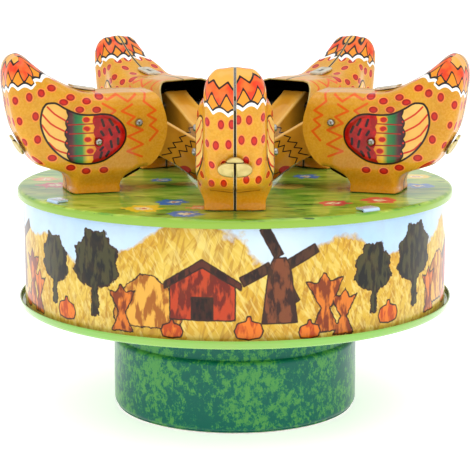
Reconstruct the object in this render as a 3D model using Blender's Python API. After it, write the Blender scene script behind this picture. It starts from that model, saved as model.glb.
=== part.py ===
"""A wind-up toy: five tin hens on a turning drum, pecking at the meadow in their middle.

The drum turns on a fixed spindle, driven by a spring motor in the base.
A lifter in the drum rides on a cam on the spindle and works the five heads through wires in the hollow feet.
"""
from math import atan2, cos, hypot, pi, radians, sin, sqrt, tan

import bmesh
import bpy
from mathutils import Matrix, Vector
from mathutils.geometry import delaunay_2d_cdt

MM = 0.001

# Overall sizes
DRUM_RADIUS = 70.0 * MM
DRUM_HEIGHT = 38.1 * MM
BASE_RADIUS = 39.7 * MM
BASE_HEIGHT = 34.4 * MM
HEN_COUNT = 5

# Sheet and fits
SHEET = 0.5 * MM
GAP = 0.3 * MM
BEARING_GAP = 0.2 * MM

# Base
BASE_CLEARANCE = 0.35 * MM
BASE_FOOT_INSET = 0.9 * MM
BASE_LOW_EDGE = 1.6 * MM
BASE_EDGE_RUN = 1.2 * MM
BASE_SHOULDER = 1.1 * MM
BASE_NECK_HEIGHT = 3.2 * MM
BASE_TOP_BEND = 0.8 * MM

# Drum
RIM_HEIGHT = 2.7 * MM
RIM_EDGE_RADIUS = 1.3 * MM
WALL_INSET = 1.9 * MM
WALL_TAB_WIDTH = 6.0 * MM
WALL_TAB_LENGTH = 4.6 * MM
WALL_TAB_COUNT = 4
FIRST_TAB_AZIMUTH = 36.0

# Hens
HEN_UNIT = DRUM_RADIUS / 70.0
HEN_WIDTH_AT_WING = 22.8 * HEN_UNIT
HEN_WIDTH_AT_TAIL = 18.8 * HEN_UNIT
SHOULDER_WIDTH = 4.2 * HEN_UNIT
SHOULDER_DROP = 4.4 * HEN_UNIT
HEAD_WIDTH = 9.0 * HEN_UNIT
RIVET_RADIUS = 1.2 * MM
RIVET_NECK_RADIUS = 0.8 * MM
RIVET_HEAD_HEIGHT = 1.1 * MM
HEAD_LIFT = 30.0
TIP_NARROWING = 1.0 * HEN_UNIT
SLIM_REACH = (56.5, 65.0)
TIP_REACH = (60.0, 66.0)
TIP_HEIGHTS = (36.0, 45.0)
FOOT_HEIGHTS = (2.0, 7.5)
BEAK_TIP = (12.9, 0.7)
BEAK_HALF_WIDTH = 1.0 * HEN_UNIT
BEAK_WIDENING = 0.62 * HEN_UNIT
FACE_NARROWING = 0.6 * HEN_UNIT
FACE_REACH = (12.0, 22.0)
ARM_SLOT_RUN = 0.45
CLIP_CENTRE = (69.9, 14.3)
CLIP_STAND_OFF = 0.55 * MM
CLIP_SLOPE = (6.2, 3.5)
CLIP_HALF_WIDTH = 4.9
CLIP_HALF_HEIGHT = 2.6
CLIP_SLIT = 0.4
CLIP_SLIT_TOP = 1.6
CLIP_MOON = ((2.3, 2.5), (2.0, 3.4), (1.1, 4.2), (0.0, 4.4))
WIRE_RADIUS = 0.6 * MM
NECK_PIVOT = (34.9, 21.6)
WING_RIVET = (47.7, 16.1)
WIRE_REACH = 44.0

# Spindle, cam and lifter
SPINDLE_RADIUS = 2.0 * MM
SPINDLE_HEAD_RADIUS = 3.4 * MM
SPINDLE_FLANGE = 3.0 * MM
CAM_RADIUS = 8.0 * MM
CAM_INNER_RADIUS = 4.4 * MM
CAM_TEETH = 4
CAM_DWELL = 30.0
FOLLOWER_RADIUS = 0.9 * MM
LIFTER_ARM_WIDTH = 5.0 * MM

# Motor
MOTOR_UNIT = min(BASE_RADIUS / 39.7, BASE_HEIGHT / 34.4)
BASE_OPENING = 23.0 * MOTOR_UNIT
MOTOR_SHEET = 0.9 * MOTOR_UNIT
ARBOR_RADIUS = 1.1 * MOTOR_UNIT
SPRING_ARBOR_RADIUS = 1.6 * MOTOR_UNIT
GREAT_MODULE = 0.8 * MOTOR_UNIT
GREAT_TEETH = 30
OUTPUT_TEETH = 10
CROWN_MODULE = 1.0 * MOTOR_UNIT
CROWN_TEETH = 36
CROWN_PINION_TEETH = 8
SECOND_PINION_TEETH = 8
SECOND_MODULE = 0.62 * MOTOR_UNIT
SECOND_TEETH = 32
GOVERNOR_TEETH = 8
RATCHET_TEETH = 12
CLICK_REACH = 7.6 * MOTOR_UNIT
CLICK_BEARING = -32.0
CLICK_NOSE_BEARING = 25.0
SPRING_TURNS = 6.0
KEY_WING_SPAN = 23.0 * MOTOR_UNIT

# Facets
ROUND_SIDES = 60
SMALL_SIDES = 10
WIRE_SIDES = 8

# Heights in the row frame
BASE_TOP = BASE_HEIGHT
DRUM_BOTTOM = BASE_TOP + GAP
PLATE_TOP = DRUM_BOTTOM + DRUM_HEIGHT


# Materials
COLOURS = {
    "meadow_tin": ((0.35, 0.62, 0.12, 1.0), 0.0, 0.25),
    "picture_tin": ((0.85, 0.68, 0.25, 1.0), 0.0, 0.25),
    "lime_tin": ((0.42, 0.68, 0.16, 1.0), 0.0, 0.25),
    "sponged_tin": ((0.03, 0.30, 0.18, 1.0), 0.0, 0.25),
    "hen_tin": ((0.86, 0.50, 0.08, 1.0), 0.0, 0.25),
    "head_tin": ((0.80, 0.45, 0.07, 1.0), 0.0, 0.25),
    "bare_tin": ((0.78, 0.72, 0.55, 1.0), 0.8, 0.35),
    "rivet_steel": ((0.62, 0.62, 0.62, 1.0), 1.0, 0.25),
    "wire_steel": ((0.55, 0.55, 0.56, 1.0), 1.0, 0.35),
    "spring_steel": ((0.22, 0.25, 0.32, 1.0), 1.0, 0.3),
    "motor_steel": ((0.52, 0.53, 0.54, 1.0), 1.0, 0.35),
    "wheel_brass": ((0.75, 0.58, 0.25, 1.0), 1.0, 0.3),
    "key_steel": ((0.70, 0.70, 0.70, 1.0), 1.0, 0.2),
}


def clear_scene():
    """Remove every object, mesh and material that the file opened with."""
    for obj in list(bpy.data.objects):
        bpy.data.objects.remove(obj, do_unlink=True)
    for mesh in list(bpy.data.meshes):
        bpy.data.meshes.remove(mesh)
    for material in list(bpy.data.materials):
        bpy.data.materials.remove(material)


def node_material(node, finish):
    """One Principled material for one node, in the colour of its finish."""
    colour, metallic, roughness = COLOURS[finish]
    material = bpy.data.materials.new(node + "_" + finish)
    material.use_nodes = True
    shader = material.node_tree.nodes["Principled BSDF"]
    shader.inputs["Base Color"].default_value = colour
    shader.inputs["Metallic"].default_value = metallic
    shader.inputs["Roughness"].default_value = roughness
    return material


def add_node(name, verts, faces, finish, origin=(0.0, 0.0, 0.0), thickness=0.0):
    """Make one named object from points and faces; a thickness turns an open skin into sheet."""
    base = Vector(origin)
    mesh = bpy.data.meshes.new(name)
    mesh.from_pydata([Vector(v) - base for v in verts], [], faces)
    mesh.validate()
    mesh.update()
    obj = bpy.data.objects.new(name, mesh)
    obj.location = base
    bpy.context.collection.objects.link(obj)
    obj.data.materials.append(node_material(name, finish))
    if thickness:
        sheet = obj.modifiers.new("sheet", "SOLIDIFY")
        sheet.thickness = thickness
        sheet.offset = -1.0
        sheet.use_even_offset = True
        sheet.use_rim = True
    return obj


# Shape helpers

def circle(radius, sides, centre=(0.0, 0.0), phase=0.0):
    """Points of a circle, counter-clockwise."""
    cx, cy = centre
    return [
        (cx + radius * cos(phase + 2 * pi * i / sides), cy + radius * sin(phase + 2 * pi * i / sides))
        for i in range(sides)
    ]


def revolve(profile, sides, phase=0.0):
    """Turn a closed profile of (radius, height) points, listed counter-clockwise, about the Z axis."""
    verts = []
    rings = []
    for radius, height in profile:
        if radius < 1e-7:
            rings.append([len(verts)] * sides)
            verts.append((0.0, 0.0, height))
            continue
        ring = []
        for i in range(sides):
            angle = phase + 2 * pi * i / sides
            ring.append(len(verts))
            verts.append((radius * cos(angle), radius * sin(angle), height))
        rings.append(ring)
    faces = []
    count = len(profile)
    for j in range(count):
        low, high = rings[j], rings[(j + 1) % count]
        if low[0] == low[1] and high[0] == high[1]:
            continue
        for i in range(sides):
            k = (i + 1) % sides
            corners = [low[i], low[k], high[k], high[i]]
            face = []
            for corner in corners:
                if corner not in face:
                    face.append(corner)
            faces.append(face)
    return verts, faces


def fill(outer, holes=(), inner_points=()):
    """Triangles over a flat outline with holes; returns the points and faces, counter-clockwise."""
    loops = [list(outer)] + [list(h) for h in holes]
    given = []
    loop_faces = []
    for loop in loops:
        start = len(given)
        given.extend(tuple(p) for p in loop)
        loop_faces.append(list(range(start, start + len(loop))))
    given.extend(tuple(p) for p in inner_points)
    output = delaunay_2d_cdt([Vector(p) for p in given], [], loop_faces, 1, 1e-9)
    flat, faces, origins = output[0], output[2], output[5]
    flat = [given[sources[0]] if sources else tuple(point) for point, sources in zip(flat, output[3])]
    kept = [f for f, owners in zip(faces, origins) if owners == [0]]
    turned = []
    for face in kept:
        a, b, c = (flat[i] for i in face[:3])
        area = (b[0] - a[0]) * (c[1] - a[1]) - (b[1] - a[1]) * (c[0] - a[0])
        turned.append(list(face) if area > 0 else list(reversed(face)))
    used = sorted({i for face in turned for i in face})
    places = {old: new for new, old in enumerate(used)}
    return [flat[i] for i in used], [[places[i] for i in face] for face in turned]


def boundary(faces):
    """The directed edges that bound a set of faces."""
    edges = {}
    for face in faces:
        for a, b in zip(face, face[1:] + face[:1]):
            edges[(a, b)] = True
    return [(a, b) for a, b in edges if (b, a) not in edges]


def prism(outer, holes, low, high):
    """A flat plate with holes: the outline filled at two heights and joined by walls."""
    flat, caps = fill(outer, holes)
    count = len(flat)
    verts = [(x, y, low) for x, y in flat] + [(x, y, high) for x, y in flat]
    faces = [list(reversed(f)) for f in caps] + [[i + count for i in f] for f in caps]
    faces += [[a, b, b + count, a + count] for a, b in boundary(caps)]
    return verts, faces


def tube_along(path, radius, sides):
    """A round wire along a path of points, with mitred bends and flat ends."""
    points = [Vector(p) for p in path]
    count = len(points)
    verts = []
    side = None
    for i, point in enumerate(points):
        before = (point - points[i - 1]).normalized() if i else (points[1] - point).normalized()
        after = (points[i + 1] - point).normalized() if i + 1 < count else before
        along = (before + after).normalized()
        stretch = 1.0 / max(0.5, along.dot(before))
        if side is None:
            guess = Vector((0, 0, 1)) if abs(along.z) < 0.9 else Vector((1, 0, 0))
            side = along.cross(guess).normalized()
        bend_axis = before.cross(after)
        side = (side - along * side.dot(along)).normalized()
        up = along.cross(side)
        for k in range(sides):
            angle = 2 * pi * k / sides
            offset = side * cos(angle) + up * sin(angle)
            if bend_axis.length > 1e-6:
                across = bend_axis.normalized().cross(along)
                offset += across * (offset.dot(across) * (stretch - 1.0))
            verts.append(tuple(point + offset * radius))
    faces = []
    for i in range(count - 1):
        for k in range(sides):
            n = (k + 1) % sides
            a, b = i * sides + k, i * sides + n
            faces.append([a, b, b + sides, a + sides])
    faces.append(list(reversed(range(sides))))
    faces.append(list(range((count - 1) * sides, count * sides)))
    return verts, faces


def moved(verts, matrix):
    """Points after a 4 by 4 transform."""
    return [tuple(matrix @ Vector(v)) for v in verts]


def facing_y(centre):
    """The transform that lays a solid built along Z on an axis along Y, through (x, y, z)."""
    return Matrix.Translation(centre) @ Matrix.Rotation(-pi / 2, 4, "X")


def facing_y_outline(points):
    """Mirror an outline so that x and z read true once the solid is laid along Y."""
    return [(x, -z) for x, z in reversed(points)]


def gear_outline(module, teeth, phase=0.0, thin=0.82):
    """Straight-sided teeth: root, flank, tip, flank, with play at the flanks and under the tips."""
    pitch_radius = module * teeth / 2
    tip = pitch_radius + 0.85 * module
    root = pitch_radius - 1.15 * module
    step = 2 * pi / teeth
    outline = []
    for i in range(teeth):
        middle = phase + i * step
        base_half = 0.30 * step * thin
        tip_half = 0.14 * step * thin
        outline.append((root * cos(middle - base_half), root * sin(middle - base_half)))
        outline.append((tip * cos(middle - tip_half), tip * sin(middle - tip_half)))
        outline.append((tip * cos(middle + tip_half), tip * sin(middle + tip_half)))
        outline.append((root * cos(middle + base_half), root * sin(middle + base_half)))
    return outline


def smooth_step(low, high, value):
    """Rise from 0 to 1 between two values, with level ends."""
    t = min(1.0, max(0.0, (value - low) / (high - low)))
    return t * t * (3 - 2 * t)


# Hen shape, in millimetres along the drum's radius and above its top plate

BACK_RUN = [
    (29.3, 30.8), (34.0, 31.2), (40.0, 31.3), (46.0, 31.1), (50.8, 31.5), (54.5, 32.7), (58.5, 34.7),
    (62.4, 37.1), (65.8, 39.8), (68.4, 42.1), (70.6, 43.1), (72.8, 42.4), (74.4, 40.4), (75.2, 37.2),
    (75.2, 33.6), (74.7, 29.6), (74.0, 25.0), (72.9, 20.4), (71.2, 16.8), (69.4, 13.4), (67.7, 10.6),
    (65.2, 8.5), (61.6, 7.1), (58.4, 6.1), (56.5, 4.6), (55.8, 2.6), (55.7, 0.0),
]
BREAST_RUN = [(39.9, 0.0), (39.8, 2.4), (38.6, 4.2), (36.6, 5.5), (34.6, 6.5), (32.6, 7.5)]
FRONT_RUN = [
    (32.6, 7.5), (30.4, 9.0), (28.5, 11.1), (27.0, 14.0), (25.8, 18.2), (25.8, 22.0), (26.6, 25.4), (27.8, 28.6), (29.3, 30.8),
]


def hen_half_width(s, h):
    """Half the hen's width: slimmer behind the wing and at the tail's tip."""
    wing = HEN_WIDTH_AT_WING / 2
    tail = HEN_WIDTH_AT_TAIL / 2
    slim = smooth_step(*SLIM_REACH, s)
    tip = TIP_NARROWING * smooth_step(*TIP_HEIGHTS, h) * smooth_step(*TIP_REACH, s)
    foot = (wing - tail) * (1.0 - smooth_step(*FOOT_HEIGHTS, h)) * (1.0 - slim)
    return wing - (wing - tail) * slim - tip - foot


def along_line(points, distance):
    """The point at a distance along a run of points."""
    left = distance
    for a, b in zip(points, points[1:]):
        step = hypot(b[0] - a[0], b[1] - a[1])
        if left <= step:
            t = left / step
            return (a[0] + (b[0] - a[0]) * t, a[1] + (b[1] - a[1]) * t)
        left -= step
    return points[-1]


def inward_normals(run):
    """Unit normals of a run of points, to the right of its direction."""
    normals = []
    for i, point in enumerate(run):
        a = run[max(0, i - 1)]
        b = run[min(len(run) - 1, i + 1)]
        dx, dy = b[0] - a[0], b[1] - a[1]
        length = hypot(dx, dy)
        normals.append((dy / length, -dx / length))
    return normals


def inset_run(run, distances, start_line, end_line, depth):
    """Move a run of points inward by a distance each; its ends slide along the open edges."""
    normals = inward_normals(run)
    out = []
    for i, (point, normal) in enumerate(zip(run, normals)):
        if i == 0:
            out.append(along_line(start_line, distances[0] * depth))
        elif i == len(run) - 1:
            out.append(along_line(end_line, distances[-1] * depth))
        else:
            shift = distances[i] * depth
            out.append((point[0] + normal[0] * shift, point[1] + normal[1] * shift))
    return out


def run_room(run, everything):
    """How far each point of a run can move inward: less where the hen is narrow, and at the foot."""
    normals = inward_normals(run)
    room = []
    for point, normal in zip(run, normals):
        nearest = 100.0
        for a, b in zip(everything, everything[1:] + everything[:1]):
            ex, ey = b[0] - a[0], b[1] - a[1]
            cross = normal[0] * ey - normal[1] * ex
            if abs(cross) < 1e-9:
                continue
            t = ((a[0] - point[0]) * ey - (a[1] - point[1]) * ex) / cross
            u = ((a[0] - point[0]) * normal[1] - (a[1] - point[1]) * normal[0]) / cross
            if t > 0.5 and 0.0 <= u <= 1.0:
                nearest = min(nearest, t)
        limit = min(1.0, 0.36 * nearest / 4.4)
        limit *= 0.3 + 0.7 * smooth_step(2.0, 8.0, point[1])
        room.append(limit)
    return room


def hen_half_skin(side):
    """The open skin of half a hen in its own (radius, side, height) axes, with its two rivet holes."""
    everything = BACK_RUN + BREAST_RUN + FRONT_RUN[1:-1]
    top_edge = list(reversed(FRONT_RUN))
    foot_edge_back = [BACK_RUN[-1], BREAST_RUN[0]]
    foot_edge_front = [BREAST_RUN[0], BACK_RUN[-1]]
    back_room = run_room(BACK_RUN, everything)
    breast_room = run_room(BREAST_RUN, everything)
    drop = SHOULDER_DROP / HEN_UNIT
    levels = [(0.0, 0.0), (0.3, 0.0), (0.3 + drop * (1 - cos(radians(48))), sin(radians(48))), (0.3 + drop, 1.0)]
    unit = HEN_UNIT
    verts, faces = [], []
    seam = GAP / 2

    def place(s, h, part_way, edge):
        full = hen_half_width(s, h)
        flat = full - SHOULDER_WIDTH
        if edge:
            across = seam
        else:
            across = flat + SHOULDER_WIDTH * part_way
        verts.append((s * unit, side * across, h * unit))

    def add_run(run, room, start_line, end_line):
        rows = []
        for level, (depth, part_way) in enumerate(levels):
            moved_run = inset_run(run, room, start_line, end_line, depth)
            row = []
            for point in moved_run:
                row.append(len(verts))
                place(point[0], point[1], part_way, level == 0)
            rows.append((row, moved_run))
        for (low, _), (high, _) in zip(rows, rows[1:]):
            for i in range(len(low) - 1):
                faces.append([low[i], high[i], high[i + 1], low[i + 1]])
        return rows[-1]

    back_row, back_points = add_run(BACK_RUN, back_room, top_edge, foot_edge_back)
    breast_row, breast_points = add_run(BREAST_RUN, breast_room, foot_edge_front, FRONT_RUN)
    depth = levels[-1][0]
    low_cut = breast_room[-1] * depth
    high_cut = back_room[0] * depth
    total = sum(hypot(b[0] - a[0], b[1] - a[1]) for a, b in zip(FRONT_RUN, FRONT_RUN[1:]))
    front_points = []
    walked = 0.0
    for a, b in zip(FRONT_RUN, FRONT_RUN[1:-1]):
        walked += hypot(b[0] - a[0], b[1] - a[1])
        if low_cut + 0.4 < walked < total - high_cut - 0.4:
            front_points.append(b)
    outline = back_points + breast_points + front_points
    outline = list(reversed(outline))
    rivets = [(NECK_PIVOT, SMALL_SIDES), (WING_RIVET, SMALL_SIDES)]
    hole_radius = (RIVET_NECK_RADIUS + BEARING_GAP) / unit
    holes = [circle(hole_radius, sides, centre) for centre, sides in rivets]
    spots = [(58.0, 12.0), (58.0, 18.0), (58.0, 25.0), (61.5, 13.0), (61.5, 19.0), (61.5, 26.0),
             (65.0, 18.0), (65.0, 25.0), (65.0, 32.0), (69.0, 24.0), (69.0, 32.0), (50.0, 7.0), (44.0, 7.0)]
    flat, caps = fill(outline, holes, spots)
    known = {}
    for index, point in list(zip(back_row, back_points)) + list(zip(breast_row, breast_points)):
        known[(round(point[0], 4), round(point[1], 4))] = index
    places = []
    for point in flat:
        key = (round(point[0], 4), round(point[1], 4))
        if key in known:
            places.append(known[key])
        else:
            places.append(len(verts))
            place(point[0], point[1], 1.0, False)
    for face in caps:
        faces.append([places[i] for i in face])
    if side < 0:
        faces = [list(reversed(f)) for f in faces]
    return verts, [list(reversed(f)) for f in faces]


# Head shape: two sides of a folded channel, joined along its ridge and face

RIDGE_RUN = [
    (33.5, 26.6), (27.0, 22.9), (20.0, 18.7), (14.2, 15.2), (11.6, 13.2), (10.1, 10.8), (9.9, 8.2),
    (10.8, 5.4), (12.9, 0.7),
]
THROAT_RUN = [(15.9, 3.2), (18.2, 4.9), (20.8, 6.8), (25.0, 9.2), (29.8, 11.9), (35.8, 15.6)]
NAPE_PLAIN = [(38.6, 19.6), (38.6, 24.0)]
NAPE_WITH_ARM = [(39.0, 20.6), (46.6, 22.3), (46.3, 26.1), (38.8, 25.6)]


def head_half_width(s, h):
    """Half the head's width: full at the neck, drawn in to a point at the beak."""
    from_tip = hypot(s - BEAK_TIP[0], h - BEAK_TIP[1])
    beak = BEAK_HALF_WIDTH + BEAK_WIDENING * from_tip
    face = HEAD_WIDTH / 2 - FACE_NARROWING * (1 - smooth_step(*FACE_REACH, s))
    return min(beak, face)


def wire_top_height():
    """How high the wire's end stands above the plate at rest: half the lift above the neck's pivot."""
    return NECK_PIVOT[1] + (WIRE_REACH - NECK_PIVOT[0]) * tan(radians(HEAD_LIFT / 2))


def head_skin():
    """The open skin of a head in its own (radius, side, height) axes."""
    unit = HEN_UNIT
    verts, faces = [], []
    pin_hole = (RIVET_RADIUS + BEARING_GAP) / unit
    slot_half = (WIRE_RADIUS + BEARING_GAP) / unit
    slot_at = (WIRE_REACH, wire_top_height())
    tilt = radians(HEAD_LIFT / 2)
    slot = []
    for end, start in ((1, -pi / 2), (-1, pi / 2)):
        for i in range(5):
            angle = tilt + start + pi * i / 4
            slot.append((
                slot_at[0] + end * ARM_SLOT_RUN * cos(tilt) + slot_half * cos(angle),
                slot_at[1] + end * ARM_SLOT_RUN * sin(tilt) + slot_half * sin(angle),
            ))
    rows = {}
    for side, nape, holes in ((1, NAPE_PLAIN, []), (-1, NAPE_WITH_ARM, [slot])):
        outline = RIDGE_RUN + THROAT_RUN + nape
        spots = [(17.0, 8.0), (14.0, 6.5), (15.0, 11.5), (22.0, 14.0), (28.0, 18.0)]
        flat, caps = fill(outline, [circle(pin_hole, SMALL_SIDES, NECK_PIVOT)] + holes, spots)
        start = len(verts)
        lookup = {}
        for i, (s, h) in enumerate(flat):
            lookup[(round(s, 3), round(h, 3))] = start + i
            verts.append((s * unit, side * head_half_width(s, h), h * unit))
        for face in caps:
            shifted = [i + start for i in face]
            faces.append(list(reversed(shifted)) if side > 0 else shifted)
        rows[side] = [lookup[(round(s, 3), round(h, 3))] for s, h in RIDGE_RUN]
    left, right = rows[-1], rows[1]
    for i in range(len(RIDGE_RUN) - 1):
        faces.append([right[i], right[i + 1], left[i + 1], left[i]])
    return verts, faces


def rivet_profile(half_inside, half_outside):
    """A rivet's radius and place along its axis: thick inside, a neck in each sheet, domed ends."""
    out = half_outside + GAP
    end = out + RIVET_HEAD_HEIGHT
    right = [
        (RIVET_RADIUS, half_inside - GAP), (RIVET_NECK_RADIUS, half_inside - GAP),
        (RIVET_NECK_RADIUS, out), (RIVET_RADIUS, out), (0.7 * RIVET_RADIUS, end), (0.0, end),
    ]
    left = [(r, -z) for r, z in reversed(right)]
    return left + right


def rivet(side_width, sheet):
    """A cross rivet along the local side axis."""
    verts, faces = revolve(rivet_profile(side_width - sheet, side_width), SMALL_SIDES)
    return moved(verts, Matrix.Rotation(-pi / 2, 4, "X")), faces


def hen_frame(index):
    """The transform from a hen's (radius, side, height) axes to the row frame, a hair above the plate."""
    angle = -pi / 2 + 2 * pi * index / HEN_COUNT
    return Matrix.Translation((0, 0, PLATE_TOP + GAP)) @ Matrix.Rotation(angle, 4, "Z")


def clip_outline():
    """The rear clip seen flat: an oval with a slit from below, and a half-moon on top of it."""
    unit = HEN_UNIT
    slit = CLIP_SLIT
    oval = []
    for i in range(1, 15):
        angle = radians(-78 + 156 * i / 15)
        reach = slit + (CLIP_HALF_WIDTH - slit) * cos(angle) ** 0.8
        oval.append((reach, CLIP_HALF_HEIGHT * sin(angle)))
    right = [(slit, -CLIP_HALF_HEIGHT)] + oval + list(CLIP_MOON)
    left = [(-x, y) for x, y in reversed(right[:-1])]
    slit_end = [(-slit, CLIP_SLIT_TOP), (slit, CLIP_SLIT_TOP)]
    return [(x * unit, y * unit) for x, y in right + left + slit_end]


def build_hens():
    """Five hens: two halves, a head, two rivets, a rear clip and a lift wire each."""
    head_verts, head_faces = head_skin()
    unit = HEN_UNIT
    neck_width = hen_half_width(*NECK_PIVOT)
    wing_width = hen_half_width(*WING_RIVET)
    arm_side = -HEAD_WIDTH / 2
    for index in range(HEN_COUNT):
        frame = hen_frame(index)
        hen = "hen_%d" % (index + 1)
        for side, word in ((-1, "left"), (1, "right")):
            verts, faces = hen_half_skin(side)
            add_node(hen + "_" + word + "_half", moved(verts, frame), faces, "hen_tin", thickness=SHEET)
        pivot = frame @ Vector((NECK_PIVOT[0] * unit, 0, NECK_PIVOT[1] * unit))
        add_node(hen + "_head", moved(head_verts, frame), head_faces, "head_tin", pivot, SHEET)
        verts, faces = rivet(neck_width, SHEET)
        place = frame @ Matrix.Translation((NECK_PIVOT[0] * unit, 0, NECK_PIVOT[1] * unit))
        add_node(hen + "_neck_rivet", moved(verts, place), faces, "rivet_steel")
        verts, faces = rivet(wing_width, SHEET)
        place = frame @ Matrix.Translation((WING_RIVET[0] * unit, 0, WING_RIVET[1] * unit))
        add_node(hen + "_wing_rivet", moved(verts, place), faces, "rivet_steel")
        top = wire_top_height() * unit
        reach = WIRE_REACH * unit
        path = [
            (reach, 0, LIFTER_ARM_TOP - PLATE_TOP), (reach, 0, top),
            (reach, arm_side - 1.4 * MM, top),
        ]
        verts, faces = tube_along(path, WIRE_RADIUS, WIRE_SIDES)
        add_node(hen + "_lift_wire", moved(verts, frame), faces, "wire_steel")
        verts, faces = prism(clip_outline(), [], 0.0, SHEET)
        slope = atan2(CLIP_SLOPE[1], CLIP_SLOPE[0])
        lie = Matrix(((0, 0, 1, 0), (1, 0, 0, 0), (0, 1, 0, 0), (0, 0, 0, 1)))
        centre = (CLIP_CENTRE[0] * unit + CLIP_STAND_OFF, 0, CLIP_CENTRE[1] * unit)
        place = Matrix.Translation(centre) @ Matrix.Rotation(slope, 4, "Y")
        add_node(hen + "_rear_clip", moved(verts, frame @ place @ lie), faces, "bare_tin")


# Heights inside the drum
STROKE = (WIRE_REACH - NECK_PIVOT[0]) * HEN_UNIT * 2 * tan(radians(HEAD_LIFT / 2))
CAM_BASE = DRUM_BOTTOM + 5.4 * MM
CAM_FLOOR = CAM_BASE + 2.4 * MM
CAM_TOP = CAM_FLOOR + STROKE
LIFTER_ARM_LOW = CAM_TOP + STROKE + 3 * GAP
LIFTER_ARM_TOP = LIFTER_ARM_LOW + 0.9 * MM


def cam_height(angle):
    """Height of the cam's track: level, a rising ramp and a short level top before the drop."""
    step = 360.0 / CAM_TEETH
    turn = angle % step
    ramp_end = step - 6.0
    if turn <= CAM_DWELL:
        return CAM_FLOOR
    if turn >= ramp_end:
        return CAM_TOP
    return CAM_FLOOR + (CAM_TOP - CAM_FLOOR) * (turn - CAM_DWELL) / (ramp_end - CAM_DWELL)


def build_cam():
    """The crown cam that is fixed on the spindle: four ramps, each with a sheer drop."""
    follower_angle = 2 * (FOLLOWER_RADIUS + GAP) / ((CAM_RADIUS + CAM_INNER_RADIUS) / 2) / 2
    start = pi / 2 - follower_angle
    step = 360.0 / CAM_TEETH
    stops = []
    for tooth in range(CAM_TEETH):
        first = tooth * step
        marks = [0.0, 15.0, CAM_DWELL]
        ramp = step - 6.0 - CAM_DWELL
        marks += [CAM_DWELL + ramp * k / 4 for k in range(1, 5)]
        stops += [(first + m, cam_height(m)) for m in marks]
        stops.append((first + step, CAM_TOP))
    inner = SPINDLE_RADIUS
    verts, faces = [], []
    count = len(stops)
    for angle, height in stops:
        turn = start + radians(angle)
        for radius, level in (
            (inner, CAM_BASE), (CAM_RADIUS, CAM_BASE), (CAM_RADIUS, height),
            (CAM_INNER_RADIUS, height), (CAM_INNER_RADIUS, CAM_FLOOR - 1.0 * MM), (inner, CAM_FLOOR - 1.0 * MM),
        ):
            verts.append((radius * cos(turn), radius * sin(turn), level))
    for i in range(count):
        j = (i + 1) % count
        sheer = abs((stops[j][0] - stops[i][0]) % 360.0) < 1e-6
        for k in range(6):
            n = (k + 1) % 6
            face = [i * 6 + k, j * 6 + k, j * 6 + n, i * 6 + n]
            if sheer and k in (0, 4, 5):
                continue
            faces.append(face)
    add_welded_node("peck_cam", verts, [list(reversed(f)) for f in faces], "motor_steel")


def add_welded_node(name, verts, faces, finish, origin=(0.0, 0.0, 0.0)):
    """Make a node after merging points that lie in one place, with its faces turned outward."""
    obj = add_node(name, verts, faces, finish, origin)
    work = bmesh.new()
    work.from_mesh(obj.data)
    bmesh.ops.remove_doubles(work, verts=work.verts, dist=1e-6)
    bmesh.ops.dissolve_degenerate(work, edges=work.edges, dist=1e-7)
    bmesh.ops.recalc_face_normals(work, faces=work.faces)
    work.to_mesh(obj.data)
    work.free()
    return obj


def build_lifter():
    """The spider that carries the five wires: a sliding hub with a follower peg, and five arms."""
    outline = []
    hub = 6.2 * MM
    reach = WIRE_REACH * HEN_UNIT + 2.2 * MM
    half = LIFTER_ARM_WIDTH / 2
    for index in range(HEN_COUNT):
        angle = -pi / 2 + 2 * pi * index / HEN_COUNT
        along = Vector((cos(angle), sin(angle)))
        across = Vector((-sin(angle), cos(angle)))
        valley = angle - pi / HEN_COUNT
        outline.append((hub * cos(valley), hub * sin(valley)))
        root = half / tan(pi / HEN_COUNT) + hub * 0.55
        for distance, width in ((root, -half), (reach - half, -half * 0.8)):
            outline.append(tuple(along * distance + across * width))
        for turn in (-50, 0, 50):
            tip = along * (reach - half + half * cos(radians(turn))) + across * (half * 0.8 * sin(radians(turn)))
            outline.append(tuple(tip))
        for distance, width in ((reach - half, half * 0.8), (root, half)):
            outline.append(tuple(along * distance + across * width))
    bore = circle(SPINDLE_RADIUS + BEARING_GAP, SMALL_SIDES)
    verts, faces = prism(outline, [bore], LIFTER_ARM_LOW, LIFTER_ARM_TOP)
    spider = add_node("lifter_spider", verts, faces, "bare_tin")
    middle = (CAM_RADIUS + CAM_INNER_RADIUS) / 2
    low = CAM_TOP + GAP
    verts, faces = revolve([
        (0.0, low), (0.6 * FOLLOWER_RADIUS, low), (FOLLOWER_RADIUS, low + 0.4 * MM),
        (FOLLOWER_RADIUS, LIFTER_ARM_LOW - GAP), (0.0, LIFTER_ARM_LOW - GAP),
    ], WIRE_SIDES)
    add_node("follower_peg", moved(verts, Matrix.Translation((0.0, middle, 0.0))), faces, "motor_steel")
    turns = 5
    wire = 0.45 * MM
    coil = SPINDLE_RADIUS + 1.6 * MM
    low = LIFTER_ARM_TOP + GAP + wire
    high = PLATE_TOP - SHEET - 2 * GAP - wire
    steps = turns * 10
    path = []
    for i in range(steps + 1):
        angle = 2 * pi * turns * i / steps
        height = low + (high - low) * i / steps
        path.append((coil * cos(angle), coil * sin(angle), height))
    verts, faces = tube_along(path, wire, 5)
    add_node("lifter_spring", verts, faces, "spring_steel")
    return spider


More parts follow.
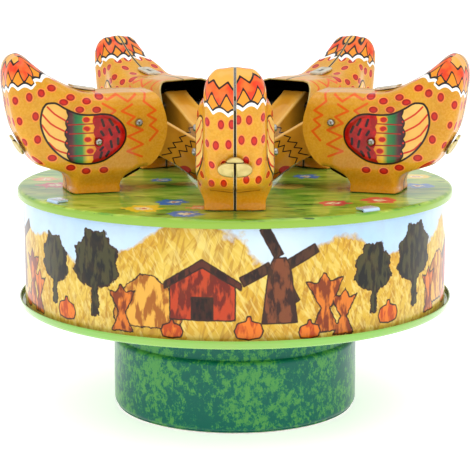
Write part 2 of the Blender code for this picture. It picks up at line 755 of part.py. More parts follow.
def build_drum():
    """Top plate, printed wall with its folded tabs, and bottom plate with its turned-up lip."""
    outer = DRUM_RADIUS
    edge = RIM_EDGE_RADIUS
    top = PLATE_TOP
    wall_outer = outer - WALL_INSET
    tab_slot_half = WALL_TAB_WIDTH / 2 + GAP
    holes = []
    for k in range(WALL_TAB_COUNT):
        angle = radians(FIRST_TAB_AZIMUTH - 90 + 360 * k / WALL_TAB_COUNT)
        along, across = Vector((cos(angle), sin(angle))), Vector((-sin(angle), cos(angle)))
        near, far = wall_outer - SHEET - 2.2 * GAP, wall_outer + GAP
        corners = [
            along * near - across * tab_slot_half, along * far - across * tab_slot_half,
            along * far + across * tab_slot_half, along * near + across * tab_slot_half,
        ]
        holes.append([tuple(c) for c in corners])
    for index in range(HEN_COUNT):
        angle = -pi / 2 + 2 * pi * index / HEN_COUNT
        centre = (WIRE_REACH * HEN_UNIT * cos(angle), WIRE_REACH * HEN_UNIT * sin(angle))
        holes.append(circle(WIRE_RADIUS + 3 * GAP, WIRE_SIDES, centre))
    holes.append(circle(SPINDLE_RADIUS + BEARING_GAP, SMALL_SIDES))
    inner_edge = outer - edge
    flat, caps = fill(circle(inner_edge, ROUND_SIDES), holes)
    add_lid("top_plate", flat, caps, [
        (inner_edge, top), (outer - 0.3 * edge, top - 0.3 * edge), (outer, top - edge),
        (outer, top - RIM_HEIGHT), (outer - SHEET, top - RIM_HEIGHT), (outer - SHEET, top - edge),
        (outer - 0.3 * edge - 0.7 * SHEET, top - 0.3 * edge - 0.7 * SHEET), (inner_edge, top - SHEET),
    ], "meadow_tin")
    flat, caps = fill(circle(inner_edge, ROUND_SIDES), [circle(SPINDLE_RADIUS + BEARING_GAP, SMALL_SIDES)])
    low = DRUM_BOTTOM
    add_lid("bottom_plate", flat, caps, [
        (inner_edge, low + SHEET), (outer - 0.3 * edge - 0.7 * SHEET, low + 0.3 * edge + 0.7 * SHEET),
        (outer - SHEET, low + edge), (outer - SHEET, low + RIM_HEIGHT), (outer, low + RIM_HEIGHT),
        (outer, low + edge), (outer - 0.3 * edge, low + 0.3 * edge), (inner_edge, low),
    ], "lime_tin")
    build_wall(wall_outer)
    bush = SPINDLE_RADIUS + 2.4 * MM
    bore = SPINDLE_RADIUS + BEARING_GAP
    verts, faces = revolve([
        (bore, low + SHEET + GAP), (bush, low + SHEET + GAP), (bush, CAM_BASE - GAP), (bore, CAM_BASE - GAP),
    ], 24)
    add_node("drum_bush", verts, faces, "wheel_brass")


def add_lid(name, flat, caps, profile, finish):
    """A plate with holes whose edge runs on into a turned rim; the profile starts and ends at the plate."""
    first, last = profile[0][1], profile[-1][1]
    count = len(flat)
    verts = [(x, y, first) for x, y in flat] + [(x, y, last) for x, y in flat]
    up = first > last
    faces = [list(f) if up else list(reversed(f)) for f in caps]
    faces += [[i + count for i in (reversed(f) if up else f)] for f in caps]
    rim = profile[0][0]
    for a, b in boundary(caps):
        on_rim = hypot(*flat[a]) > rim - 1e-5 and hypot(*flat[b]) > rim - 1e-5
        if not on_rim:
            face = [a, a + count, b + count, b]
            faces.append(face if up else list(reversed(face)))
    ring_start = len(verts)
    for radius, height in profile:
        for x, y in circle(radius, ROUND_SIDES):
            verts.append((x, y, height))
    for j in range(len(profile) - 1):
        for i in range(ROUND_SIDES):
            k = (i + 1) % ROUND_SIDES
            a, b = ring_start + j * ROUND_SIDES + i, ring_start + j * ROUND_SIDES + k
            face = [a, a + ROUND_SIDES, b + ROUND_SIDES, b]
            faces.append(face if up else list(reversed(face)))
    return add_welded_node(name, verts, faces, finish)


def build_wall(wall_outer):
    """The drum's wall: a sheet ring with tabs that pass the top plate and fold inward over it."""
    low = DRUM_BOTTOM + SHEET + GAP
    high = PLATE_TOP - SHEET - GAP
    fold = PLATE_TOP + GAP
    sides = ROUND_SIDES
    inner = wall_outer - SHEET
    tab_angles = []
    half_turn = WALL_TAB_WIDTH / 2 / wall_outer
    for k in range(WALL_TAB_COUNT):
        tab_angles.append(radians(FIRST_TAB_AZIMUTH - 90 + 360 * k / WALL_TAB_COUNT))
    angles = [(2 * pi * i / sides, False) for i in range(sides)]
    for tab in tab_angles:
        centre = tab % (2 * pi)
        angles = [a for a in angles if abs((a[0] - centre + pi) % (2 * pi) - pi) > half_turn * 1.2]
        angles += [(centre - half_turn, True), (centre, True), (centre + half_turn, False)]
    angles.sort()
    verts, faces = [], []
    count = len(angles)
    for angle, _ in angles:
        for radius, height in ((wall_outer, low), (wall_outer, high), (inner, high), (inner, low)):
            verts.append((radius * cos(angle), radius * sin(angle), height))
    tab_rows = {}
    for i, (angle, tab) in enumerate(angles):
        n = (i + 1) % count
        for k in range(4):
            m = (k + 1) % 4
            if k == 1 and tab:
                continue
            faces.append([i * 4 + k, n * 4 + k, n * 4 + m, i * 4 + m])
    length = WALL_TAB_LENGTH
    for i, (angle, tab) in enumerate(angles):
        if not tab:
            continue
        pair = []
        for place in (i, (i + 1) % count):
            if place not in tab_rows:
                turn = angles[place][0]
                start = len(verts)
                for radius, height in (
                    (wall_outer, fold + SHEET), (wall_outer - length, fold + SHEET),
                    (wall_outer - length, fold), (inner, fold),
                ):
                    verts.append((radius * cos(turn), radius * sin(turn), height))
                tab_rows[place] = [place * 4 + 1, start, start + 1, start + 2, start + 3, place * 4 + 2]
            pair.append(tab_rows[place])
        near, far = pair
        for k in range(5):
            faces.append([near[k], far[k], far[k + 1], near[k + 1]])
    for place, row in tab_rows.items():
        previous = angles[(place - 1) % count][1]
        here = angles[place][1]
        if previous != here:
            faces.append([row[0], row[1], row[4], row[5]])
            faces.append([row[1], row[2], row[3], row[4]])
    add_welded_node("drum_wall", verts, faces, "picture_tin")


def build_base():
    """The base can with its shouldered top, the floor plate and the fixed spindle."""
    outer = BASE_RADIUS
    sheet = SHEET
    top = BASE_TOP
    foot = outer - BASE_FOOT_INSET
    low_edge = BASE_LOW_EDGE
    upright = low_edge + BASE_EDGE_RUN
    neck = outer - BASE_SHOULDER
    neck_foot = top - BASE_NECK_HEIGHT
    bend = BASE_TOP_BEND
    profile = [
        (foot, BASE_CLEARANCE), (outer - 0.2 * MM, low_edge), (outer, upright),
        (outer, neck_foot - sheet), (neck, neck_foot), (neck, top - bend),
        (neck - bend, top), (BASE_OPENING, top), (BASE_OPENING, top - sheet),
        (neck - bend, top - sheet), (neck - sheet, top - bend - sheet),
        (neck - sheet, neck_foot - 0.2 * MM), (outer - sheet, neck_foot - 0.7 * MM),
        (outer - sheet, upright), (foot - sheet, BASE_CLEARANCE),
    ]
    verts, faces = revolve(profile, ROUND_SIDES)
    can = add_node("base_can", verts, faces, "sponged_tin")
    key_x, key_z = WINDING_AXIS
    cutter_verts, cutter_faces = revolve([
        (0.0, 0.0), (SPRING_ARBOR_RADIUS + 2 * GAP, 0.0),
        (SPRING_ARBOR_RADIUS + 2 * GAP, outer), (0.0, outer),
    ], SMALL_SIDES)
    place = facing_y((key_x, 0.4 * outer, key_z))
    cutter = add_node("key_hole_cutter", moved(cutter_verts, place), cutter_faces, "motor_steel")
    cutter.hide_render = True
    cutter.display_type = "WIRE"
    hole = can.modifiers.new("key_hole", "BOOLEAN")
    hole.operation = "DIFFERENCE"
    hole.solver = "EXACT"
    hole.object = cutter
    floor_edge = foot - sheet - GAP
    verts, faces = revolve([
        (0.0, 0.0), (floor_edge, 0.0), (floor_edge, sheet), (0.0, sheet),
    ], ROUND_SIDES)
    add_node("floor_plate", verts, faces, "motor_steel")
    base = sheet + GAP
    flange = SPINDLE_RADIUS + SPINDLE_FLANGE
    shaft = SPINDLE_RADIUS - GAP / 3
    top = PLATE_TOP + GAP
    head = SPINDLE_HEAD_RADIUS
    verts, faces = revolve([
        (0.0, base), (flange, base), (flange, base + 1.6 * MM), (shaft, base + 2.4 * MM), (shaft, top),
        (head, top), (head, top + 0.5 * MM), (0.6 * head, top + 1.2 * MM), (0.0, top + 1.3 * MM),
    ], 16)
    add_node("spindle", verts, faces, "motor_steel")


# Motor layout: axes along Y, at (x, z), and places along Y
CROWN_RADIUS = CROWN_MODULE * CROWN_TEETH / 2
CROWN_PITCH_PLANE = BASE_TOP - 3.4 * MOTOR_UNIT
CROWN_PINION_RADIUS = CROWN_MODULE * CROWN_PINION_TEETH / 2
OUTPUT_AXIS = (0.0, CROWN_PITCH_PLANE - CROWN_PINION_RADIUS)
GREAT_RADIUS = GREAT_MODULE * GREAT_TEETH / 2
OUTPUT_DISTANCE = GREAT_MODULE * (GREAT_TEETH + OUTPUT_TEETH) / 2
OUTPUT_BEARING = radians(44.0)
WINDING_AXIS = (
    OUTPUT_AXIS[0] - OUTPUT_DISTANCE * cos(OUTPUT_BEARING),
    OUTPUT_AXIS[1] - OUTPUT_DISTANCE * sin(OUTPUT_BEARING),
)
SECOND_DISTANCE = GREAT_MODULE * (GREAT_TEETH + SECOND_PINION_TEETH) / 2
SECOND_BEARING = radians(-16.0)
SECOND_AXIS = (
    WINDING_AXIS[0] + SECOND_DISTANCE * cos(SECOND_BEARING),
    WINDING_AXIS[1] + SECOND_DISTANCE * sin(SECOND_BEARING),
)
GOVERNOR_DISTANCE = SECOND_MODULE * (SECOND_TEETH + GOVERNOR_TEETH) / 2
GOVERNOR_BEARING = radians(12.0)
GOVERNOR_AXIS = (
    SECOND_AXIS[0] + GOVERNOR_DISTANCE * cos(GOVERNOR_BEARING),
    SECOND_AXIS[1] + GOVERNOR_DISTANCE * sin(GOVERNOR_BEARING),
)
FRONT_PLATE_Y = 6.6 * MOTOR_UNIT
SECOND_WHEEL_Y = 8.6 * MOTOR_UNIT
GREAT_WHEEL_Y = 10.6 * MOTOR_UNIT
RATCHET_Y = 12.4 * MOTOR_UNIT
SPRING_Y = 14.2 * MOTOR_UNIT
SPRING_WIDTH = 9.0 * MOTOR_UNIT
CROWN_PINION_Y = 15.6 * MOTOR_UNIT
CROWN_PINION_LENGTH = 4.8 * MOTOR_UNIT
REAR_PLATE_Y = 24.6 * MOTOR_UNIT
WHEEL_SHEET = 1.0 * MOTOR_UNIT


def mesh_phase(from_axis, to_axis, from_teeth, to_teeth, from_phase):
    """The second gear's turn that sets its tooth gap on the first gear's tooth along the line of centres."""
    line = atan2(to_axis[1] - from_axis[1], to_axis[0] - from_axis[0])
    offset = (line - from_phase) * from_teeth
    return line + pi + (offset + pi) / to_teeth


def lay(outline_or_profile_solid, axis, y):
    """Move a solid built along Z so that it starts at a place along Y on a motor axis."""
    verts, faces = outline_or_profile_solid
    return moved(verts, facing_y((axis[0], y, axis[1]))), faces


def flat_gear(module, teeth, phase, hole, thickness, axis, y, windows=0):
    """A gear blank laid on a motor axis, seen true from the front; windows lighten a large wheel."""
    outline = facing_y_outline(gear_outline(module, teeth, phase))
    holes = [circle(hole, SMALL_SIDES)] if hole else []
    if windows:
        ring = module * teeth / 2 * 0.58
        for k in range(windows):
            angle = 2 * pi * k / windows + 0.3
            holes.append(circle(module * teeth / 2 * 0.2, 10, (ring * cos(angle), ring * sin(angle))))
    return lay(prism(outline, holes, 0.0, thickness), axis, y)


def stepped_arbor(steps, axis, y):
    """An arbor turned from (length, radius) steps, closed at both ends."""
    profile = [(0.0, 0.0)]
    place = 0.0
    for length, radius in steps:
        profile.append((radius, place))
        place += length
        profile.append((radius, place))
    profile.append((0.0, place))
    return lay(revolve(profile, SMALL_SIDES), axis, y)


def gear_stack(stages):
    """Several outlines stacked along Z as one closed solid; each must hold the next shaft's outline."""
    verts, faces = [], []
    rings = []
    for low, high, outline in stages:
        first = []
        second = []
        for x, y in outline:
            first.append(len(verts))
            verts.append((x, y, low))
        for x, y in outline:
            second.append(len(verts))
            verts.append((x, y, high))
        count = len(outline)
        for i in range(count):
            k = (i + 1) % count
            faces.append([first[i], first[k], second[k], second[i]])
        rings.append((outline, first, second))
    faces.append(list(reversed(rings[0][1])))
    faces.append(list(rings[-1][2]))
    for (outline_a, _, top_a), (outline_b, low_b, _) in zip(rings, rings[1:]):
        wide_first = max(hypot(*p) for p in outline_a) > max(hypot(*p) for p in outline_b)
        wide, wide_index = (outline_a, top_a) if wide_first else (outline_b, low_b)
        slim, slim_index = (outline_b, low_b) if wide_first else (outline_a, top_a)
        flat, caps = fill(wide, [slim])
        lookup = {}
        for point, index in list(zip(wide, wide_index)) + list(zip(slim, slim_index)):
            lookup[tuple(point)] = index
        places = [lookup[point] for point in flat]
        for face in caps:
            mapped = [places[i] for i in face]
            faces.append(mapped if wide_first else list(reversed(mapped)))
    return verts, faces


def build_crown_gear():
    """The crown gear fixed under the drum: a ring with teeth that stand down."""
    inner = CROWN_RADIUS - 2.3 * MOTOR_UNIT
    outer = CROWN_RADIUS + 2.3 * MOTOR_UNIT
    root = CROWN_PITCH_PLANE + 1.15 * CROWN_MODULE
    tip = CROWN_PITCH_PLANE - 0.85 * CROWN_MODULE
    top = DRUM_BOTTOM - GAP
    step = 2 * pi / CROWN_TEETH
    start = pi / 2
    verts, faces = [], []
    section = []
    for i in range(CROWN_TEETH):
        middle = start + (i + 0.5) * step
        section.append((middle - 0.22 * step, root))
        section.append((middle - 0.11 * step, tip))
        section.append((middle + 0.11 * step, tip))
        section.append((middle + 0.22 * step, root))
    for angle, height in section:
        for radius, level in ((inner, top), (outer, top), (outer, height), (inner, height)):
            verts.append((radius * cos(angle), radius * sin(angle), level))
    count = len(section)
    for i in range(count):
        j = (i + 1) % count
        for k in range(4):
            n = (k + 1) % 4
            faces.append([i * 4 + k, j * 4 + k, j * 4 + n, i * 4 + n])
    add_welded_node("crown_gear", verts, faces, "wheel_brass")


def build_motor():
    """The spring motor: plates, pillars, winding arbor, spring, wheels, click, governor and key."""
    build_crown_gear()
    great_phase = atan2(OUTPUT_AXIS[1] - WINDING_AXIS[1], OUTPUT_AXIS[0] - WINDING_AXIS[0])
    output_phase = mesh_phase(WINDING_AXIS, OUTPUT_AXIS, GREAT_TEETH, OUTPUT_TEETH, great_phase)
    second_phase = mesh_phase(WINDING_AXIS, SECOND_AXIS, GREAT_TEETH, SECOND_PINION_TEETH, great_phase)
    wheel_phase = atan2(GOVERNOR_AXIS[1] - SECOND_AXIS[1], GOVERNOR_AXIS[0] - SECOND_AXIS[0])
    governor_phase = mesh_phase(SECOND_AXIS, GOVERNOR_AXIS, SECOND_TEETH, GOVERNOR_TEETH, wheel_phase)
    axes = (WINDING_AXIS, OUTPUT_AXIS, SECOND_AXIS, GOVERNOR_AXIS)
    end_play = GAP
    inside = REAR_PLATE_Y - FRONT_PLATE_Y - MOTOR_SHEET
    pivot = 0.6 * ARBOR_RADIUS

    verts, faces = gear_wheel_with_hub()
    add_node("great_wheel", verts, faces, "wheel_brass", (WINDING_AXIS[0], GREAT_WHEEL_Y, WINDING_AXIS[1]))

    start = FRONT_PLATE_Y + MOTOR_SHEET + end_play
    total = inside - 2 * end_play
    output = gear_stack([
        (-MOTOR_SHEET - end_play, 0.0, circle(pivot, SMALL_SIDES)),
        (0.0, GREAT_WHEEL_Y - 0.8 * MOTOR_UNIT - start, circle(ARBOR_RADIUS, SMALL_SIDES)),
        (GREAT_WHEEL_Y - 0.8 * MOTOR_UNIT - start, GREAT_WHEEL_Y + 1.8 * MOTOR_UNIT - start,
         facing_y_outline(gear_outline(GREAT_MODULE, OUTPUT_TEETH, output_phase))),
        (GREAT_WHEEL_Y + 1.8 * MOTOR_UNIT - start, CROWN_PINION_Y - start, circle(ARBOR_RADIUS, SMALL_SIDES)),
        (CROWN_PINION_Y - start, CROWN_PINION_Y + CROWN_PINION_LENGTH - start,
         facing_y_outline(gear_outline(CROWN_MODULE, CROWN_PINION_TEETH, pi / 2))),
        (CROWN_PINION_Y + CROWN_PINION_LENGTH - start, total, circle(ARBOR_RADIUS, SMALL_SIDES)),
        (total, total + end_play + MOTOR_SHEET, circle(pivot, SMALL_SIDES)),
    ])
    verts, faces = lay(output, OUTPUT_AXIS, start)
    add_node("output_pinion", verts, faces, "wheel_brass", (OUTPUT_AXIS[0], start, OUTPUT_AXIS[1]))

    wheel_low = SECOND_WHEEL_Y - start
    pinion_low = GREAT_WHEEL_Y - 0.5 * MOTOR_UNIT - start
    second = gear_stack([
        (-MOTOR_SHEET - end_play, 0.0, circle(pivot, SMALL_SIDES)),
        (0.0, wheel_low, circle(ARBOR_RADIUS, SMALL_SIDES)),
        (wheel_low, wheel_low + 0.8 * MOTOR_UNIT,
         facing_y_outline(gear_outline(SECOND_MODULE, SECOND_TEETH, wheel_phase))),
        (wheel_low + 0.8 * MOTOR_UNIT, pinion_low + 2.0 * MOTOR_UNIT,
         facing_y_outline(gear_outline(GREAT_MODULE, SECOND_PINION_TEETH, second_phase))),
        (pinion_low + 2.0 * MOTOR_UNIT, total, circle(ARBOR_RADIUS, SMALL_SIDES)),
        (total, total + end_play + MOTOR_SHEET, circle(pivot, SMALL_SIDES)),
    ])
    verts, faces = lay(second, SECOND_AXIS, start)
    add_node("second_wheel", verts, faces, "wheel_brass", (SECOND_AXIS[0], start, SECOND_AXIS[1]))

    slim = 0.8 * ARBOR_RADIUS
    vane_low = SPRING_Y - start
    vane = governor_vane_outline()
    governor = gear_stack([
        (-MOTOR_SHEET - end_play, 0.0, circle(pivot, SMALL_SIDES)),
        (0.0, wheel_low - 0.3 * MOTOR_UNIT, circle(slim, SMALL_SIDES)),
        (wheel_low - 0.3 * MOTOR_UNIT, wheel_low + 1.6 * MOTOR_UNIT,
         facing_y_outline(gear_outline(SECOND_MODULE, GOVERNOR_TEETH, governor_phase))),
        (wheel_low + 1.6 * MOTOR_UNIT, vane_low, circle(slim, SMALL_SIDES)),
        (vane_low, vane_low + 7.0 * MOTOR_UNIT, vane),
        (vane_low + 7.0 * MOTOR_UNIT, total, circle(slim, SMALL_SIDES)),
        (total, total + end_play + MOTOR_SHEET, circle(pivot, SMALL_SIDES)),
    ])
    verts, faces = lay(governor, GOVERNOR_AXIS, start)
    add_node("governor_fly", verts, faces, "motor_steel", (GOVERNOR_AXIS[0], start, GOVERNOR_AXIS[1]))

    build_plates(axes, pivot)
    build_winding()


def governor_vane_outline():
    """Two flat vanes on a round middle, seen along the arbor."""
    reach = 6.4 * MOTOR_UNIT
    half = 0.45 * MOTOR_UNIT
    round_middle = 1.5 * MOTOR_UNIT
    turn = radians(62.0)
    outline = []
    meet = sqrt(round_middle ** 2 - half ** 2)
    for side in (0.0, pi):
        for x, y in ((meet, -half), (reach, -half), (reach, half), (meet, half)):
            angle = side + turn
            outline.append((x * cos(angle) - y * sin(angle), x * sin(angle) + y * cos(angle)))
        for k in (1, 2):
            angle = side + turn + pi * k / 3
            outline.append((round_middle * cos(angle), round_middle * sin(angle)))
    return outline


def gear_wheel_with_hub():
    """The great wheel, loose on the winding arbor, with windows for lightness."""
    great_phase = atan2(OUTPUT_AXIS[1] - WINDING_AXIS[1], OUTPUT_AXIS[0] - WINDING_AXIS[0])
    hole = SPRING_ARBOR_RADIUS + BEARING_GAP
    return flat_gear(GREAT_MODULE, GREAT_TEETH, great_phase, hole, WHEEL_SHEET, WINDING_AXIS, GREAT_WHEEL_Y)


def build_plates(axes, pivot):
    """Two motor plates with a pivot hole for each arbor, held apart by two pillars, on bent feet."""
    left, right = -22.5 * MOTOR_UNIT, 22.0 * MOTOR_UNIT
    low, high = SHEET + GAP, OUTPUT_AXIS[1] + 2.6 * MOTOR_UNIT
    pillars = [(-20.2 * MOTOR_UNIT, low + 2.2 * MOTOR_UNIT), (18.6 * MOTOR_UNIT, high - 4.4 * MOTOR_UNIT)]
    pillar_hole = 1.0 * MOTOR_UNIT
    corner = 3.0 * MOTOR_UNIT
    outline = [
        (left, low), (right, low), (right, high - corner), (right - corner, high),
        (left + 3 * corner, high), (left, high - 3 * corner),
    ]
    for name, y in (("front_motor_plate", FRONT_PLATE_Y), ("rear_motor_plate", REAR_PLATE_Y)):
        holes = []
        for axis in axes:
            radius = SPRING_ARBOR_RADIUS if axis == WINDING_AXIS else pivot
            holes.append(circle(radius + BEARING_GAP, SMALL_SIDES, axis))
        for centre in pillars:
            holes.append(circle(0.7 * pillar_hole + BEARING_GAP, SMALL_SIDES, centre))
        flipped = facing_y_outline(outline)
        flipped_holes = [facing_y_outline(h) for h in holes]
        verts, faces = prism(flipped, flipped_holes, 0.0, MOTOR_SHEET)
        add_node(name, moved(verts, facing_y((0, y, 0))), faces, "motor_steel")
    span = REAR_PLATE_Y - FRONT_PLATE_Y - MOTOR_SHEET
    for number, centre in enumerate(pillars):
        end = MOTOR_SHEET + GAP
        steps = [(end, 0.7 * pillar_hole), (span - 2 * GAP, 1.5 * pillar_hole), (end, 0.7 * pillar_hole)]
        verts, faces = stepped_arbor(steps, centre, FRONT_PLATE_Y + MOTOR_SHEET + GAP - end)
        add_node("motor_pillar_%d" % (number + 1), verts, faces, "motor_steel")


def build_winding():
    """The winding arbor with its ratchet wheel, the click, the mainspring and the key."""
    axis = WINDING_AXIS
    outside = sqrt(BASE_RADIUS ** 2 - (abs(axis[0]) - 3.2 * MOTOR_UNIT) ** 2)
    arbor_end = outside + 5.0 * MM
    arbor_start = FRONT_PLATE_Y - 0.4 * MM
    verts, faces = stepped_arbor([(arbor_end - arbor_start, SPRING_ARBOR_RADIUS)], axis, arbor_start)
    add_node("winding_arbor", verts, faces, "motor_steel", (axis[0], arbor_start, axis[1]))

    outline = []
    tip, root = 4.6 * MOTOR_UNIT, 3.5 * MOTOR_UNIT
    step = 2 * pi / RATCHET_TEETH
    for i in range(RATCHET_TEETH):
        outline.append((root * cos(i * step), root * sin(i * step)))
        outline.append((tip * cos((i + 0.08) * step), tip * sin((i + 0.08) * step)))
    hole = SPRING_ARBOR_RADIUS + GAP / 2
    verts, faces = lay(prism(facing_y_outline(outline), [circle(hole, SMALL_SIDES)], 0.0, WHEEL_SHEET), axis, RATCHET_Y)
    add_node("ratchet_wheel", verts, faces, "motor_steel", (axis[0], RATCHET_Y, axis[1]))

    build_click(axis, root, tip)
    build_mainspring(axis)
    build_key(axis, outside)


def on_circle(radius, degrees, centre=(0.0, 0.0)):
    """The point of a circle at an angle."""
    angle = radians(degrees)
    return (centre[0] + radius * cos(angle), centre[1] + radius * sin(angle))


def build_click(axis, ratchet_root, ratchet_tip):
    """The click: a curved finger on the great wheel whose nose stands in a ratchet gap."""
    unit = MOTOR_UNIT
    hinge = on_circle(CLICK_REACH, CLICK_BEARING)
    nose = on_circle(ratchet_root + 0.55 * unit, CLICK_NOSE_BEARING)
    inner_bend = on_circle(ratchet_tip + 0.45 * unit, CLICK_NOSE_BEARING - 12.0)
    outer_bend = on_circle(ratchet_tip + 1.9 * unit, CLICK_NOSE_BEARING - 6.0)
    nose_top = on_circle(ratchet_tip + 0.9 * unit, CLICK_NOSE_BEARING + 1.5)
    boss = 1.5 * unit
    line = atan2(hinge[1] - inner_bend[1], hinge[0] - inner_bend[0])
    outline = [nose, inner_bend]
    for k in range(7):
        angle = line - pi / 2 + pi * k / 6
        outline.append((hinge[0] + boss * cos(angle), hinge[1] + boss * sin(angle)))
    outline += [outer_bend, nose_top]
    pin = 0.6 * unit
    hole = circle(pin + BEARING_GAP, SMALL_SIDES, hinge)
    verts, faces = prism(facing_y_outline(outline), [facing_y_outline(hole)], 0.0, WHEEL_SHEET)
    verts = moved(verts, facing_y((axis[0], RATCHET_Y, axis[1])))
    origin = (axis[0] + hinge[0], RATCHET_Y, axis[1] + hinge[1])
    add_node("click", verts, faces, "motor_steel", origin)
    wheel = bpy.data.objects["great_wheel"]
    low = GREAT_WHEEL_Y + WHEEL_SHEET / 2
    pin_solid = stepped_arbor([(RATCHET_Y + WHEEL_SHEET + GAP - low, pin)], (origin[0], origin[2]), low)
    post = add_node("click_pin_shape", *pin_solid, "wheel_brass")
    post.hide_render = True
    post.display_type = "WIRE"
    union = wheel.modifiers.new("click_pin", "BOOLEAN")
    union.operation = "UNION"
    union.solver = "EXACT"
    union.object = post


def build_mainspring(axis):
    """A flat strip wound round the winding arbor, its outer end hooked on a motor pillar."""
    inner = SPRING_ARBOR_RADIUS + 0.6 * MM
    outer = 10.6 * MOTOR_UNIT
    half = 0.2 * MM
    steps = int(SPRING_TURNS * 14)
    inside, outside = [], []
    for i in range(steps + 1):
        t = i / steps
        angle = 2 * pi * SPRING_TURNS * t
        radius = inner + (outer - inner) * t
        inside.append(((radius - half) * cos(angle), (radius - half) * sin(angle)))
        outside.append(((radius + half) * cos(angle), (radius + half) * sin(angle)))
    verts, faces = [], []
    for (ix, iy), (ox, oy) in zip(inside, outside):
        for x, y, level in ((ix, iy, 0.0), (ox, oy, 0.0), (ox, oy, SPRING_WIDTH), (ix, iy, SPRING_WIDTH)):
            verts.append((x, y, level))
    for i in range(steps):
        for k in range(4):
            n = (k + 1) % 4
            a, b = i * 4, (i + 1) * 4
            faces.append([a + k, b + k, b + n, a + n])
    faces.append([0, 1, 2, 3])
    last = steps * 4
    faces.append([last + 3, last + 2, last + 1, last])
    verts = moved(verts, facing_y((axis[0], SPRING_Y, axis[1])))
    add_welded_node("mainspring", verts, faces, "spring_steel")


def build_key(axis, outside):
    """A butterfly key: two rounded wings either side of a waist, on a round socket."""
    unit = MOTOR_UNIT
    half_span = KEY_WING_SPAN / 2
    wing_start = outside + 6.6 * MM
    length = 13.0 * unit
    outline = []
    for k in range(13):
        angle = radians(-100 + 200 * k / 12)
        x = half_span * 0.52 + half_span * 0.48 * cos(angle)
        y = length / 2 + length / 2 * sin(angle) * 0.98
        outline.append((x, y))
    outline = [(1.6 * unit, 0.0)] + outline + [(1.6 * unit, length * 0.72)]
    mirrored = [(-x, y) for x, y in reversed(outline)]
    wing = outline + mirrored
    holes = [circle(half_span * 0.2, 10, (half_span * 0.58, length / 2)),
             circle(half_span * 0.2, 10, (-half_span * 0.58, length / 2))]
    verts, faces = prism(wing, holes, -0.6 * unit, 0.6 * unit)
    turn = Matrix.Rotation(radians(25.0), 4, "Y")
    place = Matrix.Translation((axis[0], wing_start, axis[1])) @ turn
    wings = add_node("key", moved(verts, place), faces, "key_steel", (axis[0], wing_start, axis[1]))
    socket = add_node("key_socket_shape", *lay(revolve([
        (SPRING_ARBOR_RADIUS + GAP / 2, 0.0), (2.9 * unit, 0.0), (2.9 * unit, 5.0 * MM + 1.6 * MM + 1.2 * unit),
        (0.0, 5.0 * MM + 1.6 * MM + 1.2 * unit), (0.0, 5.0 * MM), (SPRING_ARBOR_RADIUS + GAP / 2, 5.0 * MM),
    ], 16), axis, outside + 0.6 * MM), "key_steel")
    socket.hide_render = True
    socket.display_type = "WIRE"
    union = wings.modifiers.new("socket", "BOOLEAN")
    union.operation = "UNION"
    union.solver = "EXACT"
    union.object = socket


def main():
    """Build every piece of the toy."""
    clear_scene()
    build_base()
    build_motor()
    build_cam()
    build_drum()
    build_lifter()
    build_hens()


main()
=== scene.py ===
"""The looks of a tin wind-up toy: five hens that peck at a printed meadow on a turning drum."""
from math import atan2, cos, pi, radians, sin
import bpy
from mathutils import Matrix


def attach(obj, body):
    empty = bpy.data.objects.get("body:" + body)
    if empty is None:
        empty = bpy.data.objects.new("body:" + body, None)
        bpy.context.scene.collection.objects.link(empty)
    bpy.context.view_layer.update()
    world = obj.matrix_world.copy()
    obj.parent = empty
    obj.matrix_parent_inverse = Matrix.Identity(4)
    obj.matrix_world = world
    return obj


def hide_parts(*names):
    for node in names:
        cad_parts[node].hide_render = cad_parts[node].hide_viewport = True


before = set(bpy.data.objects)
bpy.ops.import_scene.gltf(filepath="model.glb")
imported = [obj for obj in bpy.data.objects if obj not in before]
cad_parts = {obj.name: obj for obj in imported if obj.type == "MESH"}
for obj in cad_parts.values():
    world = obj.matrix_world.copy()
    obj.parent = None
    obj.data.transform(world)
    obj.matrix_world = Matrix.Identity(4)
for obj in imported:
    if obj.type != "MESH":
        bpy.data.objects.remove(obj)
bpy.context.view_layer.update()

from types import SimpleNamespace

import bmesh
import bpy
import numpy as np
from bpy.props import FloatProperty, FloatVectorProperty, PointerProperty
from bpy.types import Operator, Panel, PropertyGroup
from mathutils import Vector

bl_info = {
    "name": "Pecking hens toy",
    "version": (1, 0, 0),
    "blender": (4, 5, 0),
    "location": "3D View > Sidebar > Tin toy",
    "description": "Builds the printed tin pieces of a wind-up toy with five pecking hens",
    "category": "Add Mesh",
}

# Sizes in millimetres and angles in degrees, in the frame of the CAD model
MM = 0.001
PLATE_TOP = 72.8
FIT = 0.3
SHEET = 0.5
DRUM_BOTTOM = 34.7
DRUM_RADIUS = 70.0
WALL_RADIUS = 68.1
WALL_LOW = 35.5
WALL_HIGH = 72.0
RIM_HEIGHT = 2.7
RIM_ROUND = 1.3
BASE_RADIUS = 39.7
BASE_TOP = 34.4
HEN_COUNT = 5
WING_HALF_WIDTH = 11.4
TAIL_HALF_WIDTH = 9.4
SHOULDER_WIDTH = 4.2
SHOULDER_DROP = 4.4
HEAD_HALF_WIDTH = 4.5
NECK_PIVOT = (34.9, 21.6)
WING_RIVET = (47.7, 16.1)
RIVET_HOLE = 1.0
PIN_HOLE = 1.4
ARM_SLOT_HALF = 0.8
SEAM_HALF_GAP = 0.04
TAB_AZIMUTHS = (-54.0, 36.0, 126.0, 216.0)

# How near points are welded, the least edge that is kept, the least fold that is sharp, and a distance too
# far to matter
WELD = 0.002
SLIVER = 0.0001
FOLD_ANGLE = 35.0
NOWHERE = 9.0


# Surfaces

